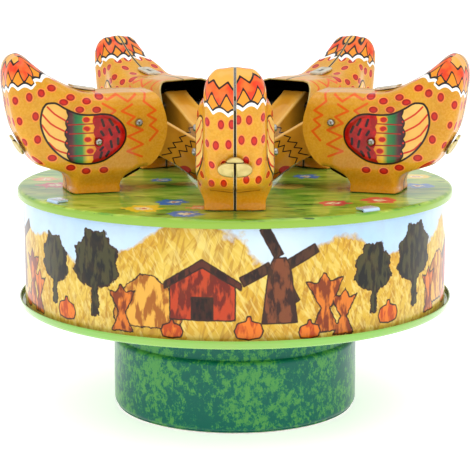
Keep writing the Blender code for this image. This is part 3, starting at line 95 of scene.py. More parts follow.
class Skin:
    """Quads over one or more grids of points, in millimetres, that become one mesh."""

    def __init__(self):
        self.points = []
        self.quads = []
        self.slots = []
        self.values = []
        self.count = 0

    def add(self, points, values=None, around=False, flip=False, slot=0, keep=None):
        """Join a grid: rows down the first index, columns along the second; around closes the columns."""
        rows, columns = points.shape[:2]
        index = self.count + np.arange(rows * columns).reshape(rows, columns)
        if around:
            index = np.hstack((index, index[:, :1]))
        quads = np.stack((index[:-1, :-1], index[:-1, 1:], index[1:, 1:], index[1:, :-1]), axis=-1)
        if flip:
            quads = quads[..., ::-1]
        quads = quads[keep] if keep is not None else quads.reshape(-1, 4)
        self.points.append(points.reshape(-1, 3))
        self.quads.append(quads)
        self.slots.append(np.full(len(quads), slot))
        spread = {name: np.broadcast_to(value, (rows, columns)) for name, value in (values or {}).items()}
        self.values.append({name: value.ravel() for name, value in spread.items()})
        self.count += rows * columns
        return self

    def printed(self, points, values_of, **how):
        """Join a grid that carries the distances by which its print is drawn."""
        return self.add(points, values_of(*np.moveaxis(points, -1, 0)), **how)

    def stood(self, index):
        """Stand all the points where a hen stands."""
        self.points = [stand(points, index) for points in self.points]
        return self

    def build(self, name, materials, sheet=0.0, inner=0, edge=0):
        """Make the object, weld what meets, and give it a sheet's thickness if it has one."""
        mesh = bpy.data.meshes.new(name)
        mesh.from_pydata((np.vstack(self.points) * MM).tolist(), [], np.vstack(self.quads).tolist())
        for key in sorted({key for values in self.values for key in values}):
            columns = [values.get(key, np.zeros(len(part))) for values, part in zip(self.values, self.points)]
            attribute = mesh.attributes.new(key, "FLOAT", "POINT")
            attribute.data.foreach_set("value", np.concatenate(columns).astype(np.float32))
        mesh.polygons.foreach_set("material_index", np.concatenate(self.slots).astype(np.int32))
        work = bmesh.new()
        work.from_mesh(mesh)
        bmesh.ops.remove_doubles(work, verts=work.verts, dist=WELD * MM)
        bmesh.ops.dissolve_degenerate(work, edges=work.edges, dist=SLIVER * MM)
        work.to_mesh(mesh)
        work.free()
        mesh.shade_smooth()
        mesh.set_sharp_from_angle(angle=radians(FOLD_ANGLE))
        for material in materials:
            mesh.materials.append(material)
        piece = bpy.data.objects.new(name, mesh)
        bpy.context.scene.collection.objects.link(piece)
        if sheet:
            wall = piece.modifiers.new("sheet", "SOLIDIFY")
            wall.thickness = sheet * MM
            wall.offset = -1.0
            wall.material_offset = inner
            wall.material_offset_rim = edge
        return piece


def finish_piece(piece, body, slot, *nodes):
    """Hang a finished piece on its CAD body, in the place of the CAD nodes that it stands for."""
    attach(piece, body)
    if nodes:
        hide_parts(*nodes)


def whole_turn(sides):
    """Angles evenly spaced round a whole turn."""
    return np.linspace(0, 2 * pi, sides, endpoint=False)


def turned(profile, angle):
    """A profile of (radius, height) turned about the upright axis: x = r cos a, y = r sin a."""
    radius, height = np.array(profile, float).T[:, :, None]
    return np.stack((radius * np.cos(angle), radius * np.sin(angle), height + 0 * angle), axis=-1)


def arc(centre, radius, start, end, steps):
    """Points of an arc of a circle between two angles in degrees."""
    angle = np.radians(np.linspace(start, end, steps))
    return list(zip(centre[0] + radius * np.cos(angle), centre[1] + radius * np.sin(angle)))


def walk(run):
    """The length walked along a run to each of its points."""
    return np.concatenate(([0.0], np.cumsum(np.linalg.norm(np.diff(run, axis=0), axis=1))))


def even_run(points, count):
    """Points evenly spaced along straight stretches between the given ones."""
    given = np.array(points, float)
    at = np.linspace(0, walk(given)[-1], count)
    return np.stack([np.interp(at, walk(given), part) for part in given.T], axis=1)


def smooth_run(points, count):
    """Points evenly spaced along the cubic curve through the given ones, each slope from its neighbours."""
    given = np.array(points, float)
    ends = np.vstack((2 * given[0] - given[1], given, 2 * given[-1] - given[-2]))
    t = np.linspace(0, 1, 12, endpoint=False)[:, None]
    a, b, c, d = (part[:, None] for part in (ends[:-3], ends[1:-2], ends[2:-1], ends[3:]))
    square, cube = 2 * a - 5 * b + 4 * c - d, 3 * b - a - 3 * c + d
    curve = 0.5 * (2 * b + (c - a) * t + square * t ** 2 + cube * t ** 3)
    return even_run(np.vstack((curve.reshape(-1, given.shape[1]), given[-1:])), count)


def rise(low, high, value):
    """A step from 0 to 1 between two values, with level ends: t * t * (3 - 2 t)."""
    t = np.clip((value - low) / (high - low), 0, 1)
    return t * t * (3 - 2 * t)


def far_from(run, x, y):
    """The distance of each place (x, y) from a run of points: the least over its straight stretches."""
    run = np.asarray(run, float)
    best = np.full(np.shape(x), 1e3)
    for (ax, ay), (bx, by) in zip(run[:-1], run[1:]):
        ex, ey = bx - ax, by - ay
        t = np.clip(((x - ax) * ex + (y - ay) * ey) / (ex * ex + ey * ey + 1e-12), 0, 1)
        best = np.minimum(best, np.hypot(x - ax - t * ex, y - ay - t * ey))
    return best


def inside(run, x, y):
    """True where a place lies in a closed run of points: an odd number of its edges lie to the right."""
    crossed = np.zeros(np.shape(x), bool)
    closed = np.asarray(run, float)
    for (ax, ay), (bx, by) in zip(closed, np.roll(closed, -1, axis=0)):
        spans = (ay > y) != (by > y)
        side = ax + (y - ay) * (bx - ax) / (by - ay if by != ay else 1e-12)
        crossed ^= spans & (x < side)
    return crossed


def patch(run, x, y):
    """The signed distance from a closed run of points, less than nothing inside it."""
    away = far_from(np.vstack((run, run[:1])), x, y)
    return np.where(inside(run, x, y), -away, away)


def zigzag(value):
    """A wave of straight slopes: 1 at every whole number and 0 half way between."""
    return np.abs(value % 1.0 * 2 - 1)


def hen_angle(index):
    """The angle at which a hen stands on the plate; the first one's tail is nearest to the camera."""
    return -pi / 2 + 2 * pi * index / HEN_COUNT


def stand(points, index):
    """Turn a hen's (along the drum's radius, side, height) places to the frame, a hair above the plate."""
    outward, aside = cos(hen_angle(index)), sin(hen_angle(index))
    s, t, h = points[..., 0], points[..., 1], points[..., 2]
    return np.stack((s * outward - t * aside, s * aside + t * outward, h + PLATE_TOP + FIT), axis=-1)


# Finishes

MEASURES = ("DISTANCE", "LENGTH", "DOT_PRODUCT")
COAT_ROUGHNESS = 0.04
BUMP_STRENGTH = 0.6
MIX_COVER, MIX_UNDER, MIX_OVER, MIX_RESULT = 0, 6, 7, 2


class Paint:
    """Builds a material's nodes one after another."""

    def __init__(self, name, metallic=0.0, roughness=0.3, coat=0.0, specular=0.5):
        self.material = bpy.data.materials.new(name)
        self.material.use_nodes = True
        self.tree = self.material.node_tree
        self.shader = self.tree.nodes["Principled BSDF"]
        for socket, value in (("Metallic", metallic), ("Roughness", roughness), ("Coat Weight", coat),
                              ("Coat Roughness", COAT_ROUGHNESS), ("Specular IOR Level", specular)):
            self.shader.inputs[socket].default_value = value

    def put(self, kind, inputs=(), **settings):
        """Add a node, set its options, and fill its inputs with values or with other nodes' outputs."""
        node = self.tree.nodes.new("ShaderNode" + kind)
        for key, value in settings.items():
            setattr(node, key, value)
        pairs = inputs.items() if isinstance(inputs, dict) else enumerate(inputs)
        for key, value in pairs:
            if isinstance(value, bpy.types.NodeSocket):
                self.tree.links.new(value, node.inputs[key])
            elif value is not None:
                node.inputs[key].default_value = value
        return node

    def math(self, operation, *inputs):
        """One sum of two or three values."""
        return self.put("Math", inputs, operation=operation).outputs[0]

    def vector(self, operation, *places, scale=None):
        """One sum of places, which gives a place, or a number where it measures."""
        inputs = dict(enumerate(places))
        if scale is not None:
            inputs["Scale"] = scale
        node = self.put("VectorMath", inputs, operation=operation)
        return node.outputs["Value" if operation in MEASURES else "Vector"]

    def field(self, name):
        """A value that the mesh carries at its points, in millimetres."""
        return self.put("Attribute", attribute_name=name).outputs["Fac"]

    def place(self):
        """The place on the object, in metres."""
        return self.put("TexCoord").outputs["Object"]

    def noise(self, scale, detail=3.0, stretch=(1, 1, 1), rough=0.5, turn=0.0):
        """Cloudy noise over the object, drawn out along its axes after a turn about the second one."""
        longer = [1 / value for value in stretch]
        inputs = {"Vector": self.place(), "Rotation": (0.0, turn, 0.0), "Scale": longer}
        moved = self.put("Mapping", inputs, vector_type="TEXTURE").outputs[0]
        inputs = {"Vector": moved, "Scale": scale, "Detail": detail, "Roughness": rough}
        return self.put("TexNoise", inputs).outputs[0]

    def run(self, *runs):
        """The distance from runs of points, over the places along the radius and up that the mesh carries."""
        sheet = self.put("CombineXYZ", (self.field("along"), self.field("up"), 0.0)).outputs[0]
        best = None
        for start, end in [pair for run in runs for pair in zip(run, run[1:])]:
            edge = Vector((end[0] - start[0], end[1] - start[1], 0.0))
            off = self.vector("SUBTRACT", sheet, (start[0], start[1], 0.0))
            share = self.vector("DOT_PRODUCT", off, edge / edge.length_squared)
            share = self.put("Clamp", (share,)).outputs[0]
            away = self.vector("DISTANCE", off, self.vector("SCALE", edge, scale=share))
            best = away if best is None else self.math("MINIMUM", best, away)
        return best

    def off(self, value):
        """How far a signed distance is from nothing, so that a line can be drawn there."""
        return self.math("ABSOLUTE", value)

    def below(self, value, limit, soft=0.05, most=1.0):
        """The most where a value is less than a limit, 0 where it is more, with a soft change between."""
        span = {"From Min": limit - soft, "From Max": limit + soft, "To Min": most, "To Max": 0.0}
        return self.put("MapRange", {"Value": value, **span}).outputs[0]

    def over(self, under, colour, cover):
        """Lay a colour over another where cover is 1."""
        low, high = (part if isinstance(part, bpy.types.NodeSocket) else tint(part)
                     for part in (under, colour))
        inputs = {MIX_COVER: cover, MIX_UNDER: low, MIX_OVER: high}
        return self.put("Mix", inputs, data_type="RGBA").outputs[MIX_RESULT]

    def layers(self, colour, *rows):
        """Lay colours in turn: each row is a colour, a value, and the limits below which it shows."""
        for top, value, *limits in rows:
            colour = self.over(colour, top, self.below(value, *limits))
        return colour

    def ramp(self, value, stops):
        """A colour that changes with a value from 0 to 1."""
        node = self.put("ValToRGB", (value,))
        elements = node.color_ramp.elements
        while len(elements) < len(stops):
            elements.new(0.5)
        for element, (at, colour) in zip(elements, stops):
            element.position = at
            element.color = tint(colour)
        return node.outputs[0]

    def cloudy(self, noise, dark, light, low=0.3, high=0.7):
        """A colour that goes from dark to light in clouds."""
        return self.ramp(noise, ((low, dark), (high, light)))

    def wear(self, colour, strength=0.12):
        """Faint clouds in a colour, as in ink that dried unevenly."""
        return self.layers(colour, ((0.25, 0.12, 0.02), self.noise(260.0, 4.0), 0.42, 0.12, strength))

    def done(self, colour, bump=None, depth=0.0):
        """Give the shader its colour, and small bumps if there are any."""
        self.tree.links.new(colour, self.shader.inputs["Base Color"])
        if bump is not None:
            node = self.put("Bump", {"Height": bump, "Distance": depth, "Strength": BUMP_STRENGTH})
            self.tree.links.new(node.outputs[0], self.shader.inputs["Normal"])
        return self.material


def tint(colour):
    """A colour of three parts given a fourth that makes it solid."""
    return tuple(colour)[:3] + (1.0,)


def rgb(red, green, blue):
    """A colour as a screen shows it, from 0 to 255, turned to light."""
    return tuple(c / 255 / 12.92 if c < 11 else ((c / 255 + 0.055) / 1.055) ** 2.4
                 for c in (red, green, blue))


def metal(name, light, dark, roughness, scale=900.0, stretch=(1, 1, 1)):
    """A bare metal: two tones in clouds, and fine marks."""
    paint = Paint(name, metallic=1.0, roughness=roughness)
    colour = paint.cloudy(paint.noise(scale, 4.0, stretch), rgb(*dark), rgb(*light), high=0.65)
    return paint.done(colour, paint.noise(scale * 3, 2.0, stretch), 0.00001)


def slit_and_shadow_tin(name, light, dark):
    """A bare tin, dark where it is split along the middle, and with a painted shadow along the foot of the
    clip's half-moon.
    """
    paint = Paint(name, metallic=1.0, roughness=0.38)
    colour = paint.cloudy(paint.noise(500.0, 4.0), rgb(*dark), rgb(*light), high=0.65)
    colour = paint.layers(colour, (rgb(52, 34, 18), paint.field("slit"), 0.5, 0.12))
    return paint.done(colour, paint.noise(1500.0, 2.0), 0.00001)


def enamel(name, colour, deep):
    """One gloss colour over tin, a little uneven."""
    paint = Paint(name, roughness=0.15, coat=1.0)
    return paint.done(paint.cloudy(paint.noise(50.0, 3.0), deep, colour), paint.noise(800.0, 2.0), 0.000005)


def hen_print(colours):
    """The hens' printing: dots, wing, chest zigzags and tail crown, each from a distance, with painted shade
    low on the body and at its crease.
    """
    paint = Paint("hen_print", roughness=0.3, coat=0.42, specular=0.1)
    shade = paint.noise(70.0, 2.0)
    names = ("dots", "crown", "crown_low", "crown_high", "wing", "scallops", "ovals", "seam")
    dots, crown, low_zigzag, high_zigzag, wing, scallops, ovals, seam = map(paint.field, names)
    dot = paint.layers(colours.dot_red, (rgb(150, 12, 8), paint.off(dots), 0.3, 0.12))
    # Tail crown, from its scalloped foot up to the tip
    red = paint.layers(rgb(224, 62, 24), (rgb(240, 116, 44), paint.noise(260.0), 0.5, 0.12))
    between = paint.math("MULTIPLY", paint.below(low_zigzag, 0.0), paint.below(high_zigzag, 0.0))
    tip = paint.over(paint.layers(rgb(240, 170, 70), (rgb(236, 148, 30), high_zigzag, 0.0)), red, between)
    tip = paint.layers(tip, (colours.ink, paint.off(low_zigzag), 0.42, 0.1),
                       (colours.ink, paint.off(high_zigzag), 0.36, 0.1))
    # Wing, from its striped tail end to its red front
    span = {"Value": paint.field("along"), "From Min": 40.0, "From Max": 60.0}
    share = paint.put("MapRange", span).outputs[0]
    red_wing = paint.layers(rgb(160, 4, 8), (rgb(208, 18, 14), paint.noise(420.0), 0.44, 0.1))
    stripes = [smooth_run(run, 6).tolist() for run in WING_STRIPES]
    feathers = paint.layers(
        paint.layers(rgb(240, 198, 110), (rgb(232, 178, 84), shade, 0.5, 0.1)),
        (paint.ramp(share, WING_SHADES), scallops, 0.0),
        (rgb(204, 40, 16), paint.run(*stripes), 0.27, 0.08),
        (rgb(164, 20, 16), paint.run(*WING_FEATHERS), 0.2, 0.1),
        (rgb(26, 10, 16), paint.off(scallops), 0.2),
        (rgb(236, 110, 20), ovals, 0.3, 0.1),
        (rgb(190, 24, 14), ovals, 0.0),
        (red_wing, paint.field("cap"), 0.0),
        (rgb(34, 6, 12), paint.run(*WING_DASHES), 0.42, 0.1))
    # The whole hen, from the ground up to the bare cut edges along the seam
    colour = paint.layers(
        paint.cloudy(shade, colours.hen_deep, colours.hen_gold),
        # Painted shade: the lower body turns a deeper orange towards the foot
        (rgb(240, 152, 6), paint.field("up"), 5.5, 3.0, 0.8),
        (rgb(255, 206, 110), paint.noise(1500.0, 1.0), 0.5, 0.06, 0.1),
        (rgb(196, 116, 6), paint.noise(1100.0, 1.0), 0.44, 0.05, 0.14),
        # Painted shade: a dark brown line along the crease where the body overhangs the foot
        (rgb(96, 40, 8), paint.field("crease"), 0.16, 0.1, 0.85),
        (rgb(226, 84, 10), paint.run(*CHEST_ZIGZAGS), 0.36, 0.12, 0.9),
        (rgb(250, 140, 60), dots, 0.22, 0.1),
        (dot, dots, 0.0, 0.08),
        (rgb(250, 250, 246), paint.off(paint.math("ADD", crown, -0.8)), 0.52, 0.08),
        (tip, crown, 0.0),
        (colours.ink, paint.off(crown), 0.32, 0.06),
        (feathers, wing, 0.0),
        (colours.ink, paint.off(wing), 0.3, 0.06),
        (rgb(190, 176, 140), seam, 0.42, 0.06),
        (rgb(22, 18, 14), seam, 0.26, 0.05))
    return paint.done(paint.wear(colour), paint.noise(700.0, 3.0), 0.000006)


def head_print(colours):
    """The heads' printing: two black zigzag collars, a red patch at the throat and a brown beak, and a
    painted highlight beside the ridge.
    """
    paint = Paint("head_print", roughness=0.3, coat=0.45, specular=0.1)
    beak = paint.field("beak")
    colour = paint.layers(
        paint.cloudy(paint.noise(90.0, 3.0), rgb(196, 128, 30), rgb(226, 160, 46)),
        (colours.ink, paint.run(COLLAR_ONE, COLLAR_TWO), 0.18),
        (rgb(172, 30, 20), paint.field("patch"), 0.0),
        (rgb(196, 96, 16), beak, 0.0),
        (colours.ink, paint.off(beak), 0.14),
        # Painted highlight: a pale line along each side of the ridge's fold
        (rgb(246, 196, 100), paint.field("ridge"), 0.3, 0.15, 0.8))
    return paint.done(paint.wear(colour), paint.noise(700.0, 3.0), 0.000006)


# Places (x, y), sizes and colours of what is printed on the meadow
FLOWERS = (
    (-18.9, -39.5, 4.8, "blue"), (-14.3, -59.7, 4.8, "blue"), (-26.9, -50.7, 5.6, "yellow"),
    (-10.5, -49.0, 3.4, "orange"), (29.3, -41.4, 4.6, "red"), (43.8, -35.6, 5.4, "red"),
    (-58.0, -6.4, 5.0, "red"),
    (-62.0, 6.0, 4.0, "orange"), (59.0, -8.0, 4.6, "blue"), (60.0, 12.0, 4.8, "yellow"),
    (20.0, 55.0, 5.0, "red"),
    (-25.0, 52.0, 4.8, "blue"), (0.0, 61.0, 5.0, "yellow"), (44.0, 38.0, 5.0, "blue"),
    (-48.0, 34.0, 5.0, "red"),
    (24.0, 12.0, 4.2, "blue"), (-12.0, 24.0, 4.2, "red"), (4.0, -17.0, 3.4, "yellow"),
    (-24.0, 4.0, 3.6, "blue"),
    (8.0, 22.0, 3.6, "yellow"),
)
STRAW = ((-27.0, -9.0, 4.5), (-16.0, -4.0, 4.0), (17.0, -9.0, 5.0), (13.0, 36.0, 4.5), (-38.0, 16.0, 5.0))
FLOWER_COLOURS = {"blue": rgb(70, 126, 200), "yellow": rgb(244, 206, 40), "red": rgb(214, 60, 70),
                  "orange": rgb(236, 150, 90)}
PETAL_COUNT = 6.0
PETAL_DEPTH = 0.0006
BRUSH_SHAKE = 0.006
STRAW_RAGGED = 0.004


def meadow_print(colours):
    """The plate's printing: grass strokes, worn straw rings and scattered flowers."""
    paint = Paint("meadow_print", roughness=0.3, coat=0.5, specular=0.15)
    place = paint.place()
    grass = paint.noise(200.0, 4.0, (0.4, 1.0, 1.0))
    colour = paint.ramp(grass, ((0.32, colours.grass_deep), (0.5, colours.grass), (0.66, rgb(186, 206, 84))))
    blades = paint.noise(520.0, 2.0, (0.22, 1.0, 1.0))
    colour = paint.layers(colour, (rgb(24, 62, 20), blades, 0.33, 0.015, 0.9))
    for x, y, size in STRAW:
        far = paint.vector("DISTANCE", place, (x * MM, y * MM, PLATE_TOP * MM))
        ragged = paint.math("MULTIPLY_ADD", paint.noise(300.0, 3.0), STRAW_RAGGED, far)
        colour = paint.layers(colour, (rgb(222, 190, 80), ragged, size * MM + STRAW_RAGGED / 2, 0.0006))
    straw = paint.noise(600.0, 2.0, (0.25, 1.0, 1.0))
    colour = paint.layers(colour, (rgb(120, 110, 30), straw, 0.38, 0.04, 0.35))
    cloud = paint.put("TexNoise", {"Vector": place, "Scale": 420.0, "Detail": 3.0}).outputs[1]
    shake = paint.vector("SCALE", paint.vector("SUBTRACT", cloud, (0.5, 0.5, 0.5)), scale=BRUSH_SHAKE)
    brushed = paint.vector("ADD", place, shake)
    for x, y, size, kind in FLOWERS:
        off = paint.vector("SUBTRACT", brushed, (x * MM, y * MM, PLATE_TOP * MM))
        far = paint.vector("LENGTH", off)
        parts = paint.put("SeparateXYZ", (off,)).outputs
        turn = paint.math("ARCTAN2", parts[1], parts[0])
        petals = paint.math("COSINE", paint.math("MULTIPLY", turn, PETAL_COUNT))
        edge = paint.math("MULTIPLY_ADD", petals, -PETAL_DEPTH, far)
        inner = paint.math("MULTIPLY_ADD", petals, PETAL_DEPTH / 2, far)
        colour = paint.layers(colour, (FLOWER_COLOURS[kind], edge, size * MM, 0.0003),
                              (rgb(240, 236, 190), inner, size * MM * 0.42, 0.0004),
                              (rgb(200, 80, 60), far, size * MM * 0.2, 0.0002))
    up = paint.put("SeparateXYZ", (place,)).outputs[2]
    colour = paint.layers(colour, (colours.rim_green, up, (PLATE_TOP - 0.5) * MM, 0.0002))
    return paint.done(colour, paint.noise(900.0, 2.0), 0.000004)


# Straw strokes: turn, scale, colour and cover. Farm motifs: name, colour, shade and how ragged
STROKES = ((0.7, 520.0, rgb(180, 126, 32), 0.6), (-0.8, 560.0, rgb(228, 200, 100), 0.6),
           (0.2, 700.0, rgb(164, 110, 30), 0.5), (-0.5, 900.0, rgb(236, 216, 128), 0.5))
FARM_COLOURS = (
    ("stack", rgb(226, 168, 66), rgb(160, 92, 26), 1.0), ("tree", rgb(64, 62, 34), rgb(24, 24, 20), 1.6),
    ("sails", rgb(74, 44, 30), rgb(36, 22, 18), 0.2), ("mill", rgb(122, 66, 38), rgb(58, 32, 24), 0.3),
    ("barn", rgb(186, 62, 26), rgb(112, 32, 18), 0.3), ("door", rgb(54, 24, 18), rgb(26, 14, 12), 0.2),
    ("roof", rgb(84, 38, 26), rgb(40, 20, 16), 0.3), ("sheaf", rgb(216, 118, 36), rgb(128, 52, 18), 0.9),
    ("pumpkin", rgb(232, 120, 30), rgb(186, 70, 16), 0.3),
)
HORIZON = 51.0


def farm_print(colours):
    """The wall's printing: straw hills against the sky, and farm motifs from distances on the mesh."""
    paint = Paint("farm_print", roughness=0.3, coat=0.3, specular=0.12)
    up = paint.math("MULTIPLY_ADD", paint.put("SeparateXYZ", (paint.place(),)).outputs[2], 1 / MM, -WALL_LOW)
    level = paint.math("MULTIPLY_ADD", paint.noise(32.0, 1.5), 44.0, up)
    level = paint.math("MULTIPLY_ADD", paint.noise(500.0, 3.0), 3.0, level)
    straw = paint.ramp(paint.noise(60.0, 3.0), ((0.3, rgb(206, 156, 46)), (0.5, colours.straw_gold),
                                                (0.7, rgb(222, 192, 88))))
    for turn, scale, shade, cover in STROKES:
        strokes = paint.noise(scale, 2.0, (1.0, 1.0, 0.14), 0.6, turn)
        straw = paint.layers(straw, (shade, strokes, 0.43, 0.04, cover))
    sky = paint.cloudy(paint.noise(26.0, 2.0), rgb(176, 210, 240), rgb(206, 226, 242), 0.35, 0.65)
    picture = paint.layers(sky, (straw, level, HORIZON, 0.7))
    grain = paint.noise(520.0, 3.0, (1.0, 1.0, 0.35))
    rough = paint.math("MULTIPLY_ADD", paint.noise(700.0, 2.0), 1.4, -0.7)
    for name, fill, shade, ragged in FARM_COLOURS:
        distance = paint.math("MULTIPLY_ADD", rough, ragged, paint.field(name))
        body = paint.layers(fill, (shade, grain, 0.5, 0.05))
        picture = paint.layers(picture, (rgb(52, 28, 18), distance, 0.22, 0.12),
                               (body, distance, -0.22, 0.12))
    return paint.done(paint.wear(picture, 0.08), paint.noise(900.0, 2.0), 0.000005)


def sponge_print(colours):
    """The base's printing: a dark green dabbed with light green by a sponge."""
    paint = Paint("sponge_print", roughness=0.3, coat=0.3, specular=0.1)
    dabs = paint.noise(430.0, 8.0, (1.0, 1.0, 0.8), 0.8)
    fine = paint.noise(1400.0, 2.0, (1.0, 1.0, 0.6), 0.7)
    mixed = paint.math("MULTIPLY_ADD", fine, 0.15, paint.math("MULTIPLY", dabs, 0.62))
    mixed = paint.math("MULTIPLY_ADD", paint.noise(60.0, 2.0), 0.23, mixed)
    stops = ((0.475, colours.base_green), (0.505, rgb(2, 104, 84)), (0.520, rgb(52, 130, 76)),
             (0.555, colours.base_light))
    return paint.done(paint.ramp(mixed, stops), fine, 0.000005)


# Hen outline, in millimetres along the drum's radius (s) and above its plate (h)

BACK_RUN = ((29.3, 30.8), (34.0, 31.2), (40.0, 31.3), (46.0, 31.1), (50.8, 31.5), (54.5, 32.7), (58.5, 34.7),
            (62.4, 37.1), (65.8, 39.8), (68.4, 42.1), (70.6, 43.1), (72.8, 42.4), (74.4, 40.4), (75.2, 37.2),
            (75.2, 33.6), (74.7, 29.6), (74.0, 25.0), (72.9, 20.4), (71.2, 16.8), (69.4, 13.4), (67.7, 10.6),
            (65.2, 8.5), (61.6, 7.1), (58.4, 6.1), (56.5, 4.6), (55.8, 2.6), (55.7, 0.0))
BREAST_RUN = ((39.9, 0.0), (39.8, 2.4), (38.6, 4.2), (36.6, 5.5), (34.6, 6.5), (32.6, 7.5))
FRONT_RUN = ((32.6, 7.5), (30.4, 9.0), (28.5, 11.1), (27.0, 14.0), (25.8, 18.2), (25.8, 22.0), (26.6, 25.4),
             (27.8, 28.6), (29.3, 30.8))
WING_OUTLINE = ((63.2, 28.2), (60.6, 28.3), (58.0, 26.7), (54.6, 25.1), (51.3, 24.5), (48.6, 24.5),
                (45.9, 24.6),
                (43.2, 24.0), (40.8, 22.2), (39.4, 20.2), (39.0, 18.1), (39.5, 15.8), (40.9, 13.8),
                (43.3, 11.9),
                (46.1, 10.3), (49.5, 9.5), (52.9, 9.5), (55.6, 10.0), (58.3, 11.3), (60.9, 13.4),
                (63.2, 16.3),
                (64.6, 19.4), (65.2, 22.3), (64.9, 25.0), (64.3, 26.9))
WING_BAND_EDGE = ((57.2, 30.0), (56.7, 25.4), (57.4, 20.8), (57.5, 16.1), (56.6, 10.8), (55.8, 7.0))
WING_CAP_EDGE = ((49.3, 30.0), (49.1, 24.5), (48.7, 18.8), (48.4, 13.4), (49.5, 10.5), (50.2, 7.0))
WING_OVALS = ((51.5, 23.1), (51.4, 20.3), (51.1, 17.0), (50.4, 13.4))
WING_STRIPES = (((63.1, 27.2), (61.0, 25.0), (57.4, 22.7)), ((64.6, 24.9), (62.0, 21.9), (57.7, 19.5)),
                ((64.8, 21.7), (62.2, 18.2), (57.6, 16.1)), ((62.9, 16.3), (60.6, 14.0), (57.1, 12.8)))
WING_FEATHERS = (((57.1, 21.7), (49.3, 21.8)), ((56.8, 18.9), (48.7, 19.0)), ((56.9, 15.3), (48.1, 15.1)),
                 ((56.6, 12.1), (48.8, 12.1)))
WING_DASHES = (((44.2, 22.9), (43.2, 21.2)), ((46.6, 22.9), (46.0, 21.0)), ((42.0, 20.6), (41.2, 18.9)),
               ((44.3, 19.9), (43.6, 18.2)), ((41.6, 16.9), (41.6, 15.3)), ((43.9, 16.2), (43.6, 14.4)),
               ((44.6, 13.0), (45.4, 11.7)), ((46.8, 12.8), (47.3, 11.3)), ((46.9, 19.3), (46.2, 18.2)),
               ((46.4, 14.4), (47.2, 13.6)))
SIDE_DOTS = ((68.5, 30.3), (64.8, 31.4), (61.7, 32.9), (58.3, 28.6), (56.1, 30.0), (51.1, 28.7), (46.9, 29.9),
             (53.4, 26.2), (48.1, 26.0), (66.7, 24.4), (66.2, 17.3), (61.9, 11.5), (56.4, 8.4),
             (51.7, 7.2), (46.1, 7.3))
EDGE_DOTS = ((72.4, 7.6, 28.0), (71.7, 8.2, 21.6), (69.7, 6.7, 15.2))
SLOPE_DOTS = ((60.4, 2.4), (60.3, 6.2), (56.1, 6.0), (51.7, 5.6))
REAR_DOTS = ((3.9, 27.3), (0.9, 27.4), (5.35, 21.3), (1.8, 21.6), (3.1, 15.4), (3.2, 9.5), (6.7, 9.3))
RIGHT_LIFT = 1.3
CHEST_ZIGZAGS = (((46.1, 27.8), (42.2, 25.5), (44.0, 24.2)),
                 ((36.9, 27.3), (40.2, 25.3), (36.1, 23.4), (38.5, 21.5), (33.6, 19.2), (38.3, 17.4),
                  (33.6, 14.8), (38.6, 12.8), (34.0, 11.0)),
                 ((32.1, 30.6), (33.1, 28.1), (29.4, 25.2), (32.0, 23.8), (29.3, 22.3), (31.3, 20.6),
                  (28.8, 18.7), (31.4, 15.9)),
                 ((47.6, 31.3), (44.6, 28.9), (41.4, 30.4), (38.2, 28.2), (35.4, 30.2)))
CROWN_CUSP = 2.3
CROWN_PERIOD = 4.65
CROWN_FAR = (0.0, 7.0, 11.5, 16.0, 21.0, 32.0)
CROWN_BASE = (30.4, 31.3, 33.2, 33.6, 36.0, 36.3)
TAIL_MIDDLE = ((30.0, 60.0), (32.7, 64.7), (34.7, 66.7), (37.1, 68.7), (39.8, 70.2), (42.1, 71.2),
               (43.1, 71.7))
WING_SHADES = ((0.42, rgb(236, 130, 20)), (0.56, rgb(240, 190, 50)), (0.645, rgb(60, 140, 70)),
               (0.74, rgb(30, 110, 66)), (0.80, rgb(90, 40, 52)), (0.86, rgb(60, 20, 36)))
BACK_SAMPLES = 190
FOOT_SAMPLES = 24
BREAST_SAMPLES = 30
FRONT_SAMPLES = 50
FACE_ROWS = 44
SHOULDER_ROWS = 14
HOLE_ROWS = 5

# Spans of length (s) and height (h) over which a hen's shape changes
SLIM_SPAN = (56.5, 65.0)
TIP_SPAN = (60.0, 66.0)
TIP_HEIGHTS = (36.0, 45.0)
FOOT_HEIGHTS = (2.0, 7.5)
DROP_HEIGHTS = (2.0, 8.0)
DROP_LEAST = 0.3
WING_STEP = (-0.9, 0.2)
SEAM_SHARE = 0.05
TURN_SHARE = 0.07
INSET_ENDS = 2.0
ROW_SPACING = 1.7

# Half sizes of the dots, and the heights and reach of the rear face that shows the rear ones
DOT_SIZE = 0.9
SIDE_DOT_SPAN = (60.0, 68.0)
SIDE_DOT_WIDTHS = (1.4, 1.02)
SIDE_DOT_HEIGHTS = (1.0, 1.4)
EDGE_DOT = (1.1, 1.0, 1.38)
SLOPE_DOT = (1.3, 1.2)
SLOPE_LOW = 25.0
REAR_DOT = (0.9, 1.38)
REAR_FACE = ((8.0, 17.0, 25.0, 45.0), (55.5, 64.0, 70.0, 72.0))
SIDE_FACE = 7.0

# Tail crown: the walk round the tail, how its right side is raised, and its zigzags' (squeeze, foot, height)
CROWN_WALK = (75.0, 11.0, 3.0)
CROWN_FRONT = 4.0
CROWN_LIFT = 1.6
CROWN_LIFT_SPAN = (8.0, 13.0)
CROWN_SCALLOP = 1.25
LOW_ZIGZAG = (0.28, 1.2, 4.0)
HIGH_ZIGZAG = (0.37, 6.4, 2.1)
WING_SCALLOP = (0.75, 10.6, 3.4)
WING_OVAL = (1.05, 0.75)
# The line of painted shade under the body's overhang: where it starts along the radius, its half width,
# height and slope
CREASE_START = 51.0
CREASE_HALF_WIDTH = 7.4
CREASE_HEIGHT = 5.4
CREASE_SLOPE = 0.13


